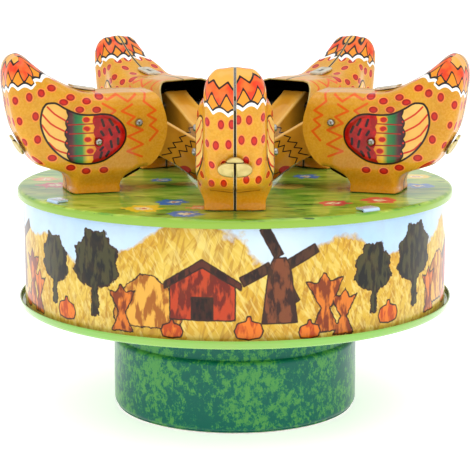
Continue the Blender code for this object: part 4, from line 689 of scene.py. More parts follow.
def hen_half_width(s, h):
    """Half the hen's width: slimmer behind the wing, at the tail's tip and at the foot."""
    slim = rise(*SLIM_SPAN, s)
    tip = rise(*TIP_HEIGHTS, h) * rise(*TIP_SPAN, s)
    foot = (1 - rise(*FOOT_HEIGHTS, h)) * (1 - slim)
    return WING_HALF_WIDTH - (WING_HALF_WIDTH - TAIL_HALF_WIDTH) * (slim + foot) - tip


def both(one, other):
    """The least of two distances with its crease rounded: a + b - sqrt(a * a + b * b)."""
    return one + other - np.sqrt(one ** 2 + other ** 2)


def hen_dots(s, t, h):
    """The distance from the nearest dot, each a stretched ball: sqrt(a^2 + b^2 + c^2) - 1."""
    across = np.abs(t)
    raised = h - np.where(t > 0, RIGHT_LIFT, 0.0)
    beside = np.maximum(0, SIDE_FACE - across)
    behind = np.maximum(0, np.interp(h, *REAR_FACE) - s)
    under = np.where(h > SLOPE_LOW, 0.0, NOWHERE + 1)
    parts = []
    for x, z in SIDE_DOTS:
        wide, tall = (a + (b - a) * rise(*SIDE_DOT_SPAN, x) for a, b in (SIDE_DOT_WIDTHS, SIDE_DOT_HEIGHTS))
        parts.append(((s - x) / wide, (h - z) / tall, beside))
    for x, y, z in EDGE_DOTS:
        parts.append(((s - x) / EDGE_DOT[0], (across - y) / EDGE_DOT[1], (raised - z) / EDGE_DOT[2]))
    for x, y in SLOPE_DOTS:
        parts.append(((s - x) / SLOPE_DOT[0], (across - y) / SLOPE_DOT[1], under))
    for y, z in REAR_DOTS:
        parts.append(((across - y) / REAR_DOT[0], (raised - z) / REAR_DOT[1], behind))
    nearest = np.min([np.sqrt(a ** 2 + b ** 2 + c ** 2) - 1 for a, b, c in parts], axis=0)
    return DOT_SIZE * np.minimum(NOWHERE, nearest)


def crown_values(s, t, h):
    """The distances from the tail crown's scalloped foot and its two zigzags, along a walk round the tail."""
    across = np.abs(t)
    half = hen_half_width(s, h)
    inward = np.interp(h, *np.array(TAIL_MIDDLE).T) - s
    end, depth, bend = CROWN_WALK
    onto_slope = np.where(inward > 0, rise(0.0, bend, half - across), 0.0)
    around = np.where(inward > 0, 2 * half - across, across)
    far = around + (end - s) * (1 - onto_slope) + depth * onto_slope
    front = rise(0.0, CROWN_FRONT, inward)
    lift = np.where(t > 0, CROWN_LIFT * (1 - rise(*CROWN_LIFT_SPAN, far)), 0.0)
    base = np.interp(far, CROWN_FAR, CROWN_BASE) + lift
    wave = (far - CROWN_CUSP) / CROWN_PERIOD
    low, high = ((1 - squeeze * front) * (foot + tall * zigzag(wave))
                 for squeeze, foot, tall in (LOW_ZIGZAG, HIGH_ZIGZAG))
    return {
        "crown": base + CROWN_SCALLOP * np.abs(np.sin(pi * wave)) - h,
        "crown_low": base + low - h,
        "crown_high": h - base - high,
    }


def hen_print_values(s, t, h):
    """The distances by which the hen's print is drawn, for places on a half whose side is t."""
    across = np.abs(t)
    # The crease value places a line of painted shade where the body overhangs the foot
    crease_shade_area = (s > CREASE_START) & (across < CREASE_HALF_WIDTH)
    deep, start, period = WING_SCALLOP
    scallop = deep * np.abs(np.sin(pi * (h - start) / period))
    band, cap = (np.interp(h, *np.array(edge)[::-1].T[::-1]) for edge in (WING_BAND_EDGE, WING_CAP_EDGE))
    ovals = [np.hypot((s - x) / WING_OVAL[0], (h - z) / WING_OVAL[1]) - 1 for x, z in WING_OVALS]
    return {
        "dots": hen_dots(s, t, h),
        "wing": patch(smooth_run(WING_OUTLINE + WING_OUTLINE[:1], 90), s, h),
        "scallops": s - band - scallop,
        "cap": s - cap - 0.8 * scallop,
        "ovals": np.min(ovals, axis=0),
        "along": s,
        "up": h,
        "seam": across - SEAM_HALF_GAP,
        "crease": np.where(crease_shade_area, np.abs(h - CREASE_HEIGHT - CREASE_SLOPE * across), NOWHERE),
        **crown_values(s, t, h),
    }


def polar_face(outline, centre, hole, rows):
    """Places on rays from round a hole out to an outline, in rows from the outline inward."""
    reach = outline - np.array(centre)
    far = np.hypot(*reach.T)
    inward = np.linspace(0, 1, rows)[:, None] ** ROW_SPACING
    radius = far - (far - hole) * inward
    return centre[0] + reach[:, 0] / far * radius, centre[1] + reach[:, 1] / far * radius


def cut_out(across, up, centre, reach, where=True):
    """The grid's quads to keep round a hole, and the loop of grid places round those taken out."""
    rows, columns = np.nonzero((np.hypot(across - centre[0], up - centre[1]) < reach) & where)
    top, bottom = max(rows.min() - 1, 0), rows.max() + 1
    left, right = columns.min() - 1, columns.max() + 1
    keep = np.ones((across.shape[0] - 1, across.shape[1]), bool)
    keep[top:bottom, left:right] = False
    down = np.arange(top, bottom)
    over = np.arange(left, right)
    row = np.concatenate((np.full(len(over), top), down, np.full(len(over), bottom), down[::-1] + 1))
    column = np.concatenate((over, np.full(len(down), right), over[::-1] + 1, np.full(len(down), left)))
    return keep, np.stack((across[row, column], up[row, column]), axis=1)


def inset(run, depth):
    """A run moved to its right by a depth that grows from nothing at both ends."""
    along = np.gradient(run, axis=0)
    along /= np.linalg.norm(along, axis=1)[:, None]
    length = walk(run)
    share = rise(0, INSET_ENDS, length) * rise(0, INSET_ENDS, length[-1] - length)
    return run + np.stack((along[:, 1], -along[:, 0]), axis=1) * (depth * share)[:, None]


def hen_half(index, side, sizes):
    """Half a hen: a face on rays from the wing rivet's hole, and a crowned band from shoulder to seam.

    The face stands off the middle by flat + r sqrt(1 - (1 - D / d)^2), where D is the distance from the
    closed edges, r the shoulder's width and d its drop. The wing is raised on it.
    """
    back = smooth_run(BACK_RUN, BACK_SAMPLES)
    foot = np.linspace(BACK_RUN[-1], BREAST_RUN[0], FOOT_SAMPLES)
    breast = smooth_run(BREAST_RUN, BREAST_SAMPLES)
    front = smooth_run(FRONT_RUN, FRONT_SAMPLES)
    back_edge = inset(back, sizes.crown)
    breast_edge = inset(breast, sizes.crown)
    outline = np.vstack((back_edge, foot[1:-1], breast_edge, front[1:-1]))
    tip = int(np.argmax(back[:, 1]))
    closed = (back_edge[:tip + 1], back_edge[tip:], breast_edge)

    def face(s, h):
        to_back, to_rear, to_breast = (far_from(run, s, h) for run in closed)
        depth = both(both(to_back, to_rear), sizes.breast_fold * to_breast)
        drop = sizes.shoulder_drop * (DROP_LEAST + (1 - DROP_LEAST) * rise(*DROP_HEIGHTS, h))
        ease = np.clip(depth / drop, 0, 1)
        flat = hen_half_width(s, h) - sizes.shoulder_width - sizes.wing_raise
        across = flat + sizes.shoulder_width * np.sqrt(1 - (1 - ease) ** 2)
        across += sizes.wing_raise * (1 - rise(*WING_STEP, patch(WING_OUTLINE, s, h)))
        return np.stack((s, side * across, h), axis=-1)

    skin = Skin()
    s, h = polar_face(outline, WING_RIVET, RIVET_HOLE, FACE_ROWS)
    keep, loop = cut_out(s, h, NECK_PIVOT, 2 * RIVET_HOLE)
    sheet = face(s, h)
    skin.printed(sheet, hen_print_values, around=True, flip=side < 0, keep=keep)
    round_hole = face(*polar_face(loop, NECK_PIVOT, RIVET_HOLE, HOLE_ROWS))
    skin.printed(round_hole, hen_print_values, around=True, flip=side < 0)
    for run, start in ((back, 0), (breast, len(back) + len(foot) - 2)):
        edge = sheet[0, start:start + len(run)]
        part = np.linspace(0, 1, SHOULDER_ROWS)[:, None]
        part[1] = SEAM_SHARE
        turn_in = sizes.seam_turn * (1 - rise(0, TURN_SHARE, part)) / np.hypot(*(run - WING_RIVET).T)
        bend = rise(0, 1, part)
        along, up = (run[:, k] + (edge[:, 2 * k] - run[:, k]) * bend + (WING_RIVET[k] - run[:, k]) * turn_in
                     for k in (0, 1))
        middle = side * SEAM_HALF_GAP
        band = np.stack((along, middle + (edge[:, 1] - middle) * part, up), axis=-1)
        skin.printed(band, hen_print_values, flip=side < 0)
    return skin.stood(index)


# Head outline, in the same axes

RIDGE_RUN = ((33.5, 26.6), (27.0, 22.9), (20.0, 18.7), (14.2, 15.2), (11.6, 13.2), (10.1, 10.8), (9.9, 8.2),
             (10.8, 5.4), (12.9, 0.7))
THROAT_RUN = ((12.9, 0.7), (15.9, 3.2), (18.2, 4.9), (20.8, 6.8), (25.0, 9.2), (29.8, 11.9), (35.8, 15.6))
NAPE_PLAIN = ((35.8, 15.6), (38.6, 19.6), (38.6, 24.0), (33.5, 26.6))
NAPE_WITH_ARM = ((35.8, 15.6), (39.0, 20.6), (46.6, 22.3), (46.3, 26.1), (38.8, 25.6), (33.5, 26.6))
ARM_SLOT = (44.0, 24.04)
ARM_SLOT_RUN = 0.45
ARM_SLOT_TILT = radians(15.0)
BEAK_TIP = (12.9, 0.7)
COLLAR_ONE = ((17.7, 16.1), (19.9, 15.6), (18.9, 14.2), (22.1, 14.0), (21.1, 12.4), (23.7, 12.3),
              (22.5, 10.7),
              (25.7, 10.2))
COLLAR_TWO = ((14.3, 13.7), (16.3, 14.3), (15.7, 12.2), (17.9, 13.0), (17.3, 10.9), (20.1, 11.4), (19.4, 9.4),
              (22.2, 9.1), (21.4, 7.2))
BEAK_OUTLINE = ((16.4, 4.4), (14.4, 3.4), (12.4, 4.1), (8.0, 4.6), (8.0, -2.0), (17.0, -2.0))
THROAT_PATCH = (18.0, 5.1)
RIDGE_SAMPLES = 100
THROAT_SAMPLES = 60
NAPE_SAMPLES = 40
HEAD_ROWS = 40
RIDGE_ROWS = 9
ARM_SLOT_REACH = 1.6
BEAK_HALF_WIDTH = 1.0
BEAK_SPREAD = 0.62
FACE_SPAN = (12.0, 22.0)
FACE_TAPER = 0.6
FOLD_MOST = 0.6
# How far from the ridge the line of painted highlight runs
RIDGE_LIGHT = 0.55
PATCH_LEAN = 0.5
PATCH_HALF = (2.0, 1.4)


def head_half_width(s, h):
    """Half the head's width: full at the neck, drawn in to a point at the beak."""
    beak = BEAK_HALF_WIDTH + BEAK_SPREAD * np.hypot(s - BEAK_TIP[0], h - BEAK_TIP[1])
    return np.minimum(beak, HEAD_HALF_WIDTH - FACE_TAPER * (1 - rise(*FACE_SPAN, s)))


def head_print_values(s, t, h):
    """The distances by which a head's print is drawn, the same on both sides (t)."""
    ridge = far_from(smooth_run(RIDGE_RUN, 40), s, h)
    x, z = s - THROAT_PATCH[0], h - THROAT_PATCH[1]
    wide, tall = PATCH_HALF
    return {
        "along": s,
        "up": h,
        "beak": patch(BEAK_OUTLINE, s, h),
        # The ridge value places a painted highlight beside the ridge's fold
        "ridge": np.abs(ridge - RIDGE_LIGHT),
        "patch": tall * (np.hypot((x - z * PATCH_LEAN) / wide, z / tall) - 1),
    }


def head_skin(index, sizes):
    """A head: two faces on rays from the neck rivet's hole, joined over the ridge by a crowned band.

    Each face stands off the middle by w - r + r sqrt(1 - (1 - D / r)^2), where w is half the head's width,
    D the distance from the ridge and r the radius of the fold.
    """
    ridge = smooth_run(RIDGE_RUN, RIDGE_SAMPLES)
    edge = inset(ridge[::-1], sizes.head_crown)[::-1]
    throat = smooth_run(THROAT_RUN, THROAT_SAMPLES)

    def face(s, h):
        full = head_half_width(s, h)
        fold = np.minimum(sizes.head_fold, FOLD_MOST * full)
        ease = np.clip(far_from(edge, s, h) / fold, 0, 1)
        return np.stack((s, full - fold + fold * np.sqrt(1 - (1 - ease) ** 2), h), axis=-1)

    skin = Skin()
    for side, nape in ((1, NAPE_PLAIN), (-1, NAPE_WITH_ARM)):
        outline = np.vstack((edge, throat[1:], even_run(nape, NAPE_SAMPLES)[1:-1]))
        s, h = polar_face(outline, NECK_PIVOT, PIN_HOLE, HEAD_ROWS)
        keep = None
        if side < 0:
            keep, loop = cut_out(s, h, ARM_SLOT, ARM_SLOT_REACH)
            turn = np.arctan2(loop[:, 1] - ARM_SLOT[1], loop[:, 0] - ARM_SLOT[0]) - ARM_SLOT_TILT
            hole = ARM_SLOT_HALF + ARM_SLOT_RUN * np.abs(np.cos(turn))
            round_slot = face(*polar_face(loop, ARM_SLOT, hole, HOLE_ROWS - 1)) * (1, side, 1)
            skin.printed(round_slot, head_print_values, around=True)
        skin.printed(face(s, h) * (1, side, 1), head_print_values, around=True, flip=side > 0, keep=keep)
    rim = face(edge[:, 0], edge[:, 1])
    part = np.linspace(-1, 1, RIDGE_ROWS)[:, None]
    bend = rise(0, 1, np.abs(part))
    along, up = (ridge[:, k] + (edge[:, k] - ridge[:, k]) * bend for k in (0, 1))
    skin.printed(np.stack((along, rim[:, 1] * part, up), axis=-1), head_print_values, flip=True)
    return skin.stood(index)


# Drum and base

DRUM_SIDES = 360
WALL_SIDES = 960
WALL_ROWS = 73
TAB_SLOT_HALF = 3.3
TAB_SLOT_NEAR = 66.94
TAB_SLOT_FAR = 68.4
TAB_HALF_WIDTH = 3.0
WIRE_REACH = 44.0
WIRE_HOLE = 1.5
KEY_AXIS = (-11.5, 15.9)
KEY_HOLE = 2.2
FARM_TURN = 428.0
FARM_SPAN = 53.5
FARM_REACH = 20.0
FARM_TIMES = 8
TAB_CLEARANCE = 1.1
TAB_COLUMNS = 7
TAB_TAPER = 1.5
TAB_ROUND = 0.9
TAB_TIP = 0.6
TAB_TIP_DROP = 0.05
PLATE_HOLE = 2.2
ROLL = 0.25
PLATE_RINGS = ((4.0, 42.0, 16), (42.5, 45.5, 7), (48.0, 66.0, 8))
BOTTOM_RADII = (PLATE_HOLE, 6.0, 20.0, 34.0, 48.0, 60.0, 66.0)


def slotted_angles():
    """Columns round the drum, with one exactly at each side of every tab slot."""
    half = np.degrees(TAB_SLOT_HALF / WALL_RADIUS)
    angles = np.linspace(-180, 180, DRUM_SIDES, endpoint=False)
    for azimuth in TAB_AZIMUTHS:
        centre = (azimuth + 180) % 360 - 180
        angles = angles[np.abs(angles - centre) > half * TAB_CLEARANCE]
        angles = np.concatenate((angles, centre + half * np.linspace(-1, 1, TAB_COLUMNS)))
    return np.radians(np.sort(angles))


def top_plate(sizes):
    """The drum's top: rings of x = r cos a, y = r sin a over a rounded rim, less tab slots and wire holes."""
    angles = slotted_angles()
    inner = [r for ring in PLATE_RINGS for r in np.linspace(*ring)]
    flat = [(r, PLATE_TOP) for r in [PLATE_HOLE] + inner + [TAB_SLOT_NEAR, TAB_SLOT_FAR]]
    corner = (DRUM_RADIUS - sizes.rim_round, PLATE_TOP - sizes.rim_round)
    rim = arc(corner, sizes.rim_round, 90, 0, 9)
    rolled = arc((DRUM_RADIUS - ROLL, PLATE_TOP - RIM_HEIGHT + ROLL), ROLL, 0, -90, 4)
    grid = turned(flat + rim + rolled, angles)
    x, y = grid[..., 0], grid[..., 1]
    keep = np.ones((len(grid) - 1, len(angles)), bool)
    middle = (angles + np.roll(angles, -1)) / 2
    for azimuth in TAB_AZIMUTHS:
        away = np.abs((middle - radians(azimuth) + pi) % (2 * pi) - pi)
        keep[len(flat) - 2, away < TAB_SLOT_HALF / WALL_RADIUS] = False
    skin = Skin()
    for index in range(HEN_COUNT):
        turn = hen_angle(index)
        centre = (WIRE_REACH * cos(turn), WIRE_REACH * sin(turn))
        kept, loop = cut_out(x, y, centre, 1.3 * WIRE_HOLE)
        keep &= kept
        across, up = polar_face(loop, centre, WIRE_HOLE, HOLE_ROWS - 1)
        skin.add(np.stack((across, up, np.full_like(up, PLATE_TOP)), axis=-1), around=True, flip=True)
    return skin.add(grid, around=True, flip=True, keep=keep)


def bottom_plate(sizes):
    """The drum's bottom: rings out to a rounded rim with a lip turned up round the wall."""
    flat = [(r, DRUM_BOTTOM) for r in BOTTOM_RADII]
    corner = (DRUM_RADIUS - sizes.rim_round, DRUM_BOTTOM + sizes.rim_round)
    rim = arc(corner, sizes.rim_round, -90, 0, 9)
    lip = [(DRUM_RADIUS, DRUM_BOTTOM + RIM_HEIGHT - 0.2), (DRUM_RADIUS - 0.1, DRUM_BOTTOM + RIM_HEIGHT)]
    return Skin().add(turned(flat + rim + lip, whole_turn(300)), around=True)


# Farm motifs, each standing on a ground line that runs through (0, 0)
STACK = ((-9, 0), (-9.8, 3), (-8.6, 7), (-5.6, 11), (-1.4, 13.6), (1.6, 13.3), (5.4, 10.6), (8.6, 6.4),
         (9.6, 2.6),
         (9, 0))
BARN = ((-8, 0), (-8, 8.5), (0, 13.2), (8, 8.5), (8, 0))
BARN_ROOF = ((-9.4, 7.4), (-9.4, 9.1), (0, 14.9), (9.4, 9.1), (9.4, 7.4), (0, 12.9))
BARN_DOOR = ((-2.6, 0), (-2.6, 5.6), (2.6, 5.6), (2.6, 0))
TREE = ((-1, 0), (-0.8, 6), (-4.6, 7.0), (-6.6, 9.6), (-5.4, 12), (-6.0, 14.6), (-3.4, 16.4), (-2.4, 19.0),
        (0.6, 18.4), (3.0, 19.2), (4.4, 16.2), (6.6, 14.8), (5.8, 12), (6.8, 9.8), (4.6, 7.4), (1, 6.2),
        (1.2, 0))
MILL = ((-4.2, 0), (-2.6, 13), (-1.4, 15.4), (1.4, 15.4), (2.6, 13), (4.2, 0))
MILL_SAILS = tuple(
    tuple((round(x * cos(a) - y * sin(a), 2), round(13.6 + x * sin(a) + y * cos(a), 2))
          for x, y in ((-0.3, 0.8), (0.3, 0.8), (0.5, 2.0), (2.0, 2.0), (2.0, 9.6), (-0.3, 9.6)))
    for a in np.radians((28.0, 118.0, 208.0, 298.0)))
SHEAF = ((-3.0, 0), (-1.9, 2.2), (-0.9, 4.4), (-2.2, 6.8), (-3.9, 9.6), (-1.6, 9.0), (-0.4, 11.2), (1.0, 9.4),
         (3.7, 10.0), (2.2, 6.8), (0.9, 4.4), (1.9, 2.2), (3.0, 0))
PUMPKIN = ((-3.4, 0.4), (-4.2, 2.4), (-3.4, 4.6), (-0.8, 5.4), (-0.5, 6.8), (0.5, 6.8), (0.8, 5.4),
           (3.4, 4.6),
           (4.2, 2.4), (3.4, 0.4), (0, -0.2))

# The two layouts: motif, shape, place along the wall, ground line, scale and which way it faces
FARM_ONE = tuple(("sails", sail, 13, 6.5, 1.25, 1) for sail in MILL_SAILS) + (
    ("mill", MILL, 13, 6.5, 1.25, 1), ("sheaf", SHEAF, 27, 3.0, 1.6, 1), ("sheaf", SHEAF, 33, 1.8, 1.2, -1),
    ("pumpkin", PUMPKIN, 4, 2.0, 1.0, 1), ("pumpkin", PUMPKIN, 22, 1.6, 0.8, 1),
    ("tree", TREE, 44, 7.0, 1.1, -1),
    ("pumpkin", PUMPKIN, 50, 3.0, 1.0, -1))
FARM_TWO = (
    ("tree", TREE, 9, 6.0, 1.35, 1), ("stack", STACK, 27, 4.5, 1.15, -1), ("barn", BARN, 44, 7.5, 1.2, 1),
    ("roof", BARN_ROOF, 44, 7.5, 1.2, 1), ("door", BARN_DOOR, 44, 7.5, 1.2, 1),
    ("sheaf", SHEAF, 19, 2.5, 1.25, 1),
    ("pumpkin", PUMPKIN, 35, 2.0, 0.8, 1))


def farm_values(along, up):
    """The distances by which the wall's band is drawn: farm motifs in two layouts, one after the other."""
    value = {row[0]: np.full(along.shape, NOWHERE) for row in FARM_ONE + FARM_TWO}
    for k in range(FARM_TIMES):
        for key, shape, at, ground, scale, facing in (FARM_TWO if k % 2 else FARM_ONE):
            apart = (along - at - k * FARM_SPAN + FARM_TURN / 2) % FARM_TURN - FARM_TURN / 2
            near = np.abs(apart) < FARM_REACH
            drawn = patch(np.array(shape, float) * scale * (facing, 1), apart[near], up[near] - ground)
            value[key][near] = np.minimum(value[key][near], drawn)
    return value


def drum_wall(sizes):
    """The drum's wall: a ring with a painted face, and four tabs that pass the plate and fold over it."""
    turn = np.linspace(-pi, pi, WALL_SIDES, endpoint=False)
    within = WALL_RADIUS - SHEET
    outer = turned([(WALL_RADIUS, z) for z in np.linspace(WALL_LOW, WALL_HIGH, WALL_ROWS)], turn)
    inner = turned([(within, WALL_LOW), (within, WALL_HIGH)], turn)
    along = FARM_TURN * (turn + pi) / (2 * pi) + 0 * outer[..., 2]
    skin = Skin().add(outer, farm_values(along, outer[..., 2] - WALL_LOW), around=True)
    skin.add(inner, around=True, flip=True, slot=1)
    for edge, inner_edge, flip in ((outer[0], inner[0], True), (outer[-1], inner[1], False)):
        skin.add(np.stack((edge, inner_edge)), around=True, flip=flip, slot=1)
    tip = WALL_RADIUS - sizes.tab_length
    bend = sizes.tab_bend
    level = PLATE_TOP + FIT + SHEET
    centre = (WALL_RADIUS - bend, level - bend)
    fold, fold_under = (arc(centre, radius, 0, 90, 7) for radius in (bend, bend - SHEET))
    path = [(WALL_RADIUS, WALL_HIGH)] + fold
    path += [(tip + TAB_TAPER, level), (tip + TAB_TIP, level), (tip, level - TAB_TIP_DROP)]
    under = [(within, WALL_HIGH)] + fold_under
    under += [(tip + reach, level - SHEET) for reach in (TAB_TAPER, TAB_TIP, 0.0)]
    loop = np.array(path + under[::-1])
    narrow = np.clip((loop[:, 0] - tip) / TAB_TAPER, 0, 1)
    half = TAB_HALF_WIDTH - TAB_ROUND * (1 - np.sqrt(1 - (1 - narrow) ** 2))
    half = half[:, None] * np.linspace(-1, 1, 9)
    for azimuth in TAB_AZIMUTHS:
        outward = np.array((cos(radians(azimuth)), sin(radians(azimuth)), 0.0))
        aside = np.array((-outward[1], outward[0], 0.0))
        points = loop[:, :1, None] * outward + loop[:, 1:, None] * (0, 0, 1) + half[..., None] * aside
        points = np.moveaxis(points, 0, 1)
        skin.add(points, around=True, slot=2, flip=True)
        for end, flip in ((0, False), (-1, True)):
            side = points[end]
            count = len(side) // 2
            skin.add(np.stack((side[:count], side[count:][::-1])), slot=2, flip=flip)
    return skin


BASE_NECK = BASE_RADIUS - 1.5
BASE_LOW = 0.35
BASE_FOOT_ROUND = 2.2
BASE_STEP_LOW = 21.7
BASE_STEP_ROUND = 1.3
BASE_TOP_ROUND = 0.9
BASE_SIDES = 256


def base_can():
    """The base: a turned can with a rounded low edge, a step below the drum, and a round hole for the key."""
    foot, step, top = BASE_FOOT_ROUND, BASE_STEP_ROUND, BASE_TOP_ROUND
    profile = [(BASE_RADIUS - 0.9, BASE_LOW)] + arc((BASE_RADIUS - foot, BASE_LOW + foot), foot, -62, 0, 8)
    profile += [(BASE_RADIUS, z) for z in np.linspace(4, 21, 14)]
    profile += arc((BASE_RADIUS - step, BASE_STEP_LOW), step, 0, 80, 9)
    profile += [(BASE_NECK + 0.1, 23.2), (BASE_NECK, 23.5)]
    profile += [(BASE_NECK, z) for z in np.linspace(25.5, 33.2, 5)]
    profile += arc((BASE_NECK - top, BASE_TOP - top), top, 0, 90, 7)
    profile += [(r, BASE_TOP) for r in (36.0, 30.0, 23.0)]
    grid = turned(profile, whole_turn(BASE_SIDES))
    x, y, z = np.moveaxis(grid, -1, 0)
    keep, loop = cut_out(x, z, KEY_AXIS, 1.4 * KEY_HOLE, (y > 0) & (z < BASE_STEP_LOW - 0.8))
    across, up = polar_face(loop, KEY_AXIS, KEY_HOLE, HOLE_ROWS)
    hole = np.stack((across, np.sqrt(BASE_RADIUS ** 2 - across ** 2), up), axis=-1)
    return Skin().add(grid, around=True, keep=keep).add(hole, around=True)


def spindle_skin():
    """The spindle: a foot on the floor plate, a long shaft, and a domed head riveted over the plate."""
    shaft, head, top = 1.9, 3.4, PLATE_TOP + FIT
    profile = [(0.0, 0.8), (5.0, 0.8), (5.0, 2.4), (shaft, 3.2), (shaft, top), (head - 0.1, top)]
    profile += [(head, top + 0.15)]
    dome = [(head * sin(a), top + 0.25 + 1.05 * cos(a)) for a in np.linspace(pi / 2, 0.35, 8)]
    dimple = [(0.7, top + 1.12), (0.0, top + 1.0)]
    return Skin().add(turned(profile + dome + dimple, whole_turn(48)), around=True)


# Small pieces

DOME_START = 0.35
DIMPLE = ((0.42, 0.86), (0.0, 0.80))
CLIP_OVAL = (4.9, 2.6)
CLIP_MOON = (2.5, 1.9)
CLIP_MOON_LOW = 2.5
CLIP_MOON_LIFT = 0.1
CLIP_CORNER = 0.8
CLIP_GAP = 0.35
CLIP_SLIT = 1.5
CLIP_STEPS = 40
CLIP_PLACE = (70.45, 14.3)
CLIP_SLOPE = atan2(3.5, 6.2)
FOLD_TAB_CORNER = 1.2
FOLD_TAB_LIFT = 0.05
FOLD_TAB_BULGE = 0.3
FOLD_TAB_SLIT = 2.6
FOLD_TAB_ROWS = 14


def rivet_skin(index, spot, half_width, sizes):
    """A rivet through a hen: a profile of (radius, side) turned about its axis, with two domed heads."""
    head, neck, pin = sizes.rivet_head, RIVET_HOLE - 0.2, PIN_HOLE - 0.2
    start, within = half_width + FIT, half_width - SHEET - FIT
    dome = [(head * sin(a), cos(a)) for a in np.linspace(pi / 2, 0.45, 9)] + list(DIMPLE)
    dome = [(r, start + DOME_START + sizes.rivet_dome * share) for r, share in dome]
    half = np.array([(pin, 0.0), (pin, within), (neck, within), (neck, start), (head, start)] + dome)
    angle = whole_turn(40)
    radius = half[:, :1]
    skin = Skin()
    for side in (1, -1):
        s, h = spot[0] + radius * np.cos(angle), spot[1] + radius * np.sin(angle)
        skin.add(np.stack((s, half[:, 1:] * side + 0 * angle, h), axis=-1), around=True, flip=side < 0)
    return skin.stood(index)


def plate_shape(outline, low, high, bulge, rows=10):
    """A thin plate of a star-shaped outline whose face bulges by b (1 - v^4)^(1/2), v from the middle out."""
    outline = np.array(outline, float)
    centre = outline.mean(axis=0)
    share = np.linspace(1, 0.02, rows)[:, None]
    x, y = (centre[k] + (outline[:, k] - centre[k]) * share for k in (0, 1))
    top = high - bulge + bulge * np.sqrt(np.clip(1 - share ** 4, 0, 1)) + 0 * x
    face = np.stack((x, y, top), axis=-1)
    back = np.stack((x, y, low + 0 * x), axis=-1)
    return face, back, np.stack((face[0], back[0]))


def rear_clip(index, sizes):
    """The clip over the rear seam: two bulged halves of an oval, and a half-moon above."""
    wide, tall = CLIP_OVAL
    angle = np.linspace(-pi / 2, pi / 2, CLIP_STEPS)
    right = [(CLIP_GAP + (wide - CLIP_GAP) * max(0.0, cos(a)) ** CLIP_CORNER, tall * sin(a)) for a in angle]
    left = [(-x, y) for x, y in reversed(right)]
    wide, tall = CLIP_MOON
    moon = [(wide * cos(a), CLIP_MOON_LOW + tall * sin(a)) for a in np.linspace(0, pi, CLIP_STEPS)]
    moon += [(x, CLIP_MOON_LOW - 0.1) for x in (-1.2, 0.0, 1.2)]
    lean, rest = cos(CLIP_SLOPE), sin(CLIP_SLOPE)
    skin = Skin()
    for outline, low in ((right, 0.0), (left, 0.0), (moon, CLIP_MOON_LIFT)):
        high = low + SHEET + sizes.clip_bulge
        for number, part in enumerate(plate_shape(outline, low, high, sizes.clip_bulge)):
            across, up, out = part[..., 0], part[..., 1], part[..., 2]
            slit = np.hypot(across, np.maximum(0, np.abs(up) - CLIP_SLIT))
            # On the half-moon the value is the height above its foot: a band of painted shadow along the foot
            if low:
                slit = up - CLIP_MOON_LOW
            points = (CLIP_PLACE[0] + out * lean + up * rest, across, CLIP_PLACE[1] - out * rest + up * lean)
            skin.add(np.stack(points, axis=-1), {"slit": slit}, around=True, flip=number > 0)
    return skin.stood(index)


def seam_tab(index, run, middle, size, height, up):
    """A tab folded over a hen's seam: a rounded plate that follows the outline, above it or below it."""
    curve = smooth_run(run, 400)
    length, half = size
    corner = FOLD_TAB_CORNER
    quarter = arc((length / 2 - corner, half - corner), corner, 0, 90, 8)
    outline = []
    for sx, sy in ((1, 1), (-1, 1), (-1, -1), (1, -1)):
        outline += [(sx * x, sy * y) for x, y in quarter[::sx * sy]]
    plate = plate_shape(outline, FOLD_TAB_LIFT, FOLD_TAB_LIFT + height, FOLD_TAB_BULGE, FOLD_TAB_ROWS)
    skin = Skin()
    for number, part in enumerate(plate):
        along, across, out = part[..., 0] + middle, part[..., 1], part[..., 2]
        points = np.stack((along, across, np.interp(along, *curve.T) + up * out), axis=-1)
        slit = np.hypot(across, np.maximum(0, np.abs(along - middle) - FOLD_TAB_SLIT))
        skin.add(points, {"slit": slit}, around=True, flip=(number > 0) != (up < 0))
    return skin.stood(index)


# The seam tabs: name, finish, run, place, (length, half width), setting of the height, and the outer side
SEAM_TABS = (
    ("_back_tab", "tab", BACK_RUN[:9], 50.2, (8.0, 2.6), "tab_rise", 1),
    # The breast tab takes the dark tin, as painted shade for the shadow it sits in under the breast
    ("_breast_tab", "dark", BREAST_RUN[::-1], 35.7, (5.4, 6.0), "breast_tab_rise", -1),
)
WORKS = {
    "brass": ("great_wheel", "output_pinion", "second_wheel", "crown_gear", "drum_bush", "ratchet_wheel"),
    "spring": ("mainspring", "lifter_spring", "click"),
    "key": ("key",),
    "wire": ("winding_arbor", "follower_peg"),
}

# The stage, in metres and degrees; a light is a name, a place, a width and the setting of its strength
WHITE = (1.0, 1.0, 1.0, 1.0)
FLOOR_DROP = 0.05
FLOOR_GLOW = 0.5
FLOOR_RADII = (0.0, 300.0, 3000.0, 30000.0)
LIGHT_AIM = (0.0, 0.0, 0.06)
LIGHTS = (("light_above", (0.1, -0.25, 1.1), 0.9, "key"), ("light_left", (-0.9, -0.6, 0.55), 0.7, "fill"),
          ("light_right", (0.9, -0.5, 0.5), 0.7, "fill"))
CAMERA_PLACE = (0.0, -0.5375, 0.1565)
CAMERA_DOWN = 10.66


# Sizes and colours that a user can change

def size(name, description, default):
    """A length up to 20 mm whose default is given here in millimetres."""
    return FloatProperty(name=name, description=description, default=default * MM, min=0.0, max=20 * MM,
                         subtype="DISTANCE", precision=5)


def amount(name, description, default, low=0.0, high=99.0, unit="NONE"):
    """A plain number."""
    return FloatProperty(name=name, description=description, default=default, min=low, max=high, unit=unit)


def colour_of(name, description, *parts):
    """A colour given as a screen shows it."""
    return FloatVectorProperty(name=name, description=description, default=rgb(*parts), subtype="COLOR",
                               min=0.0, max=1.0)


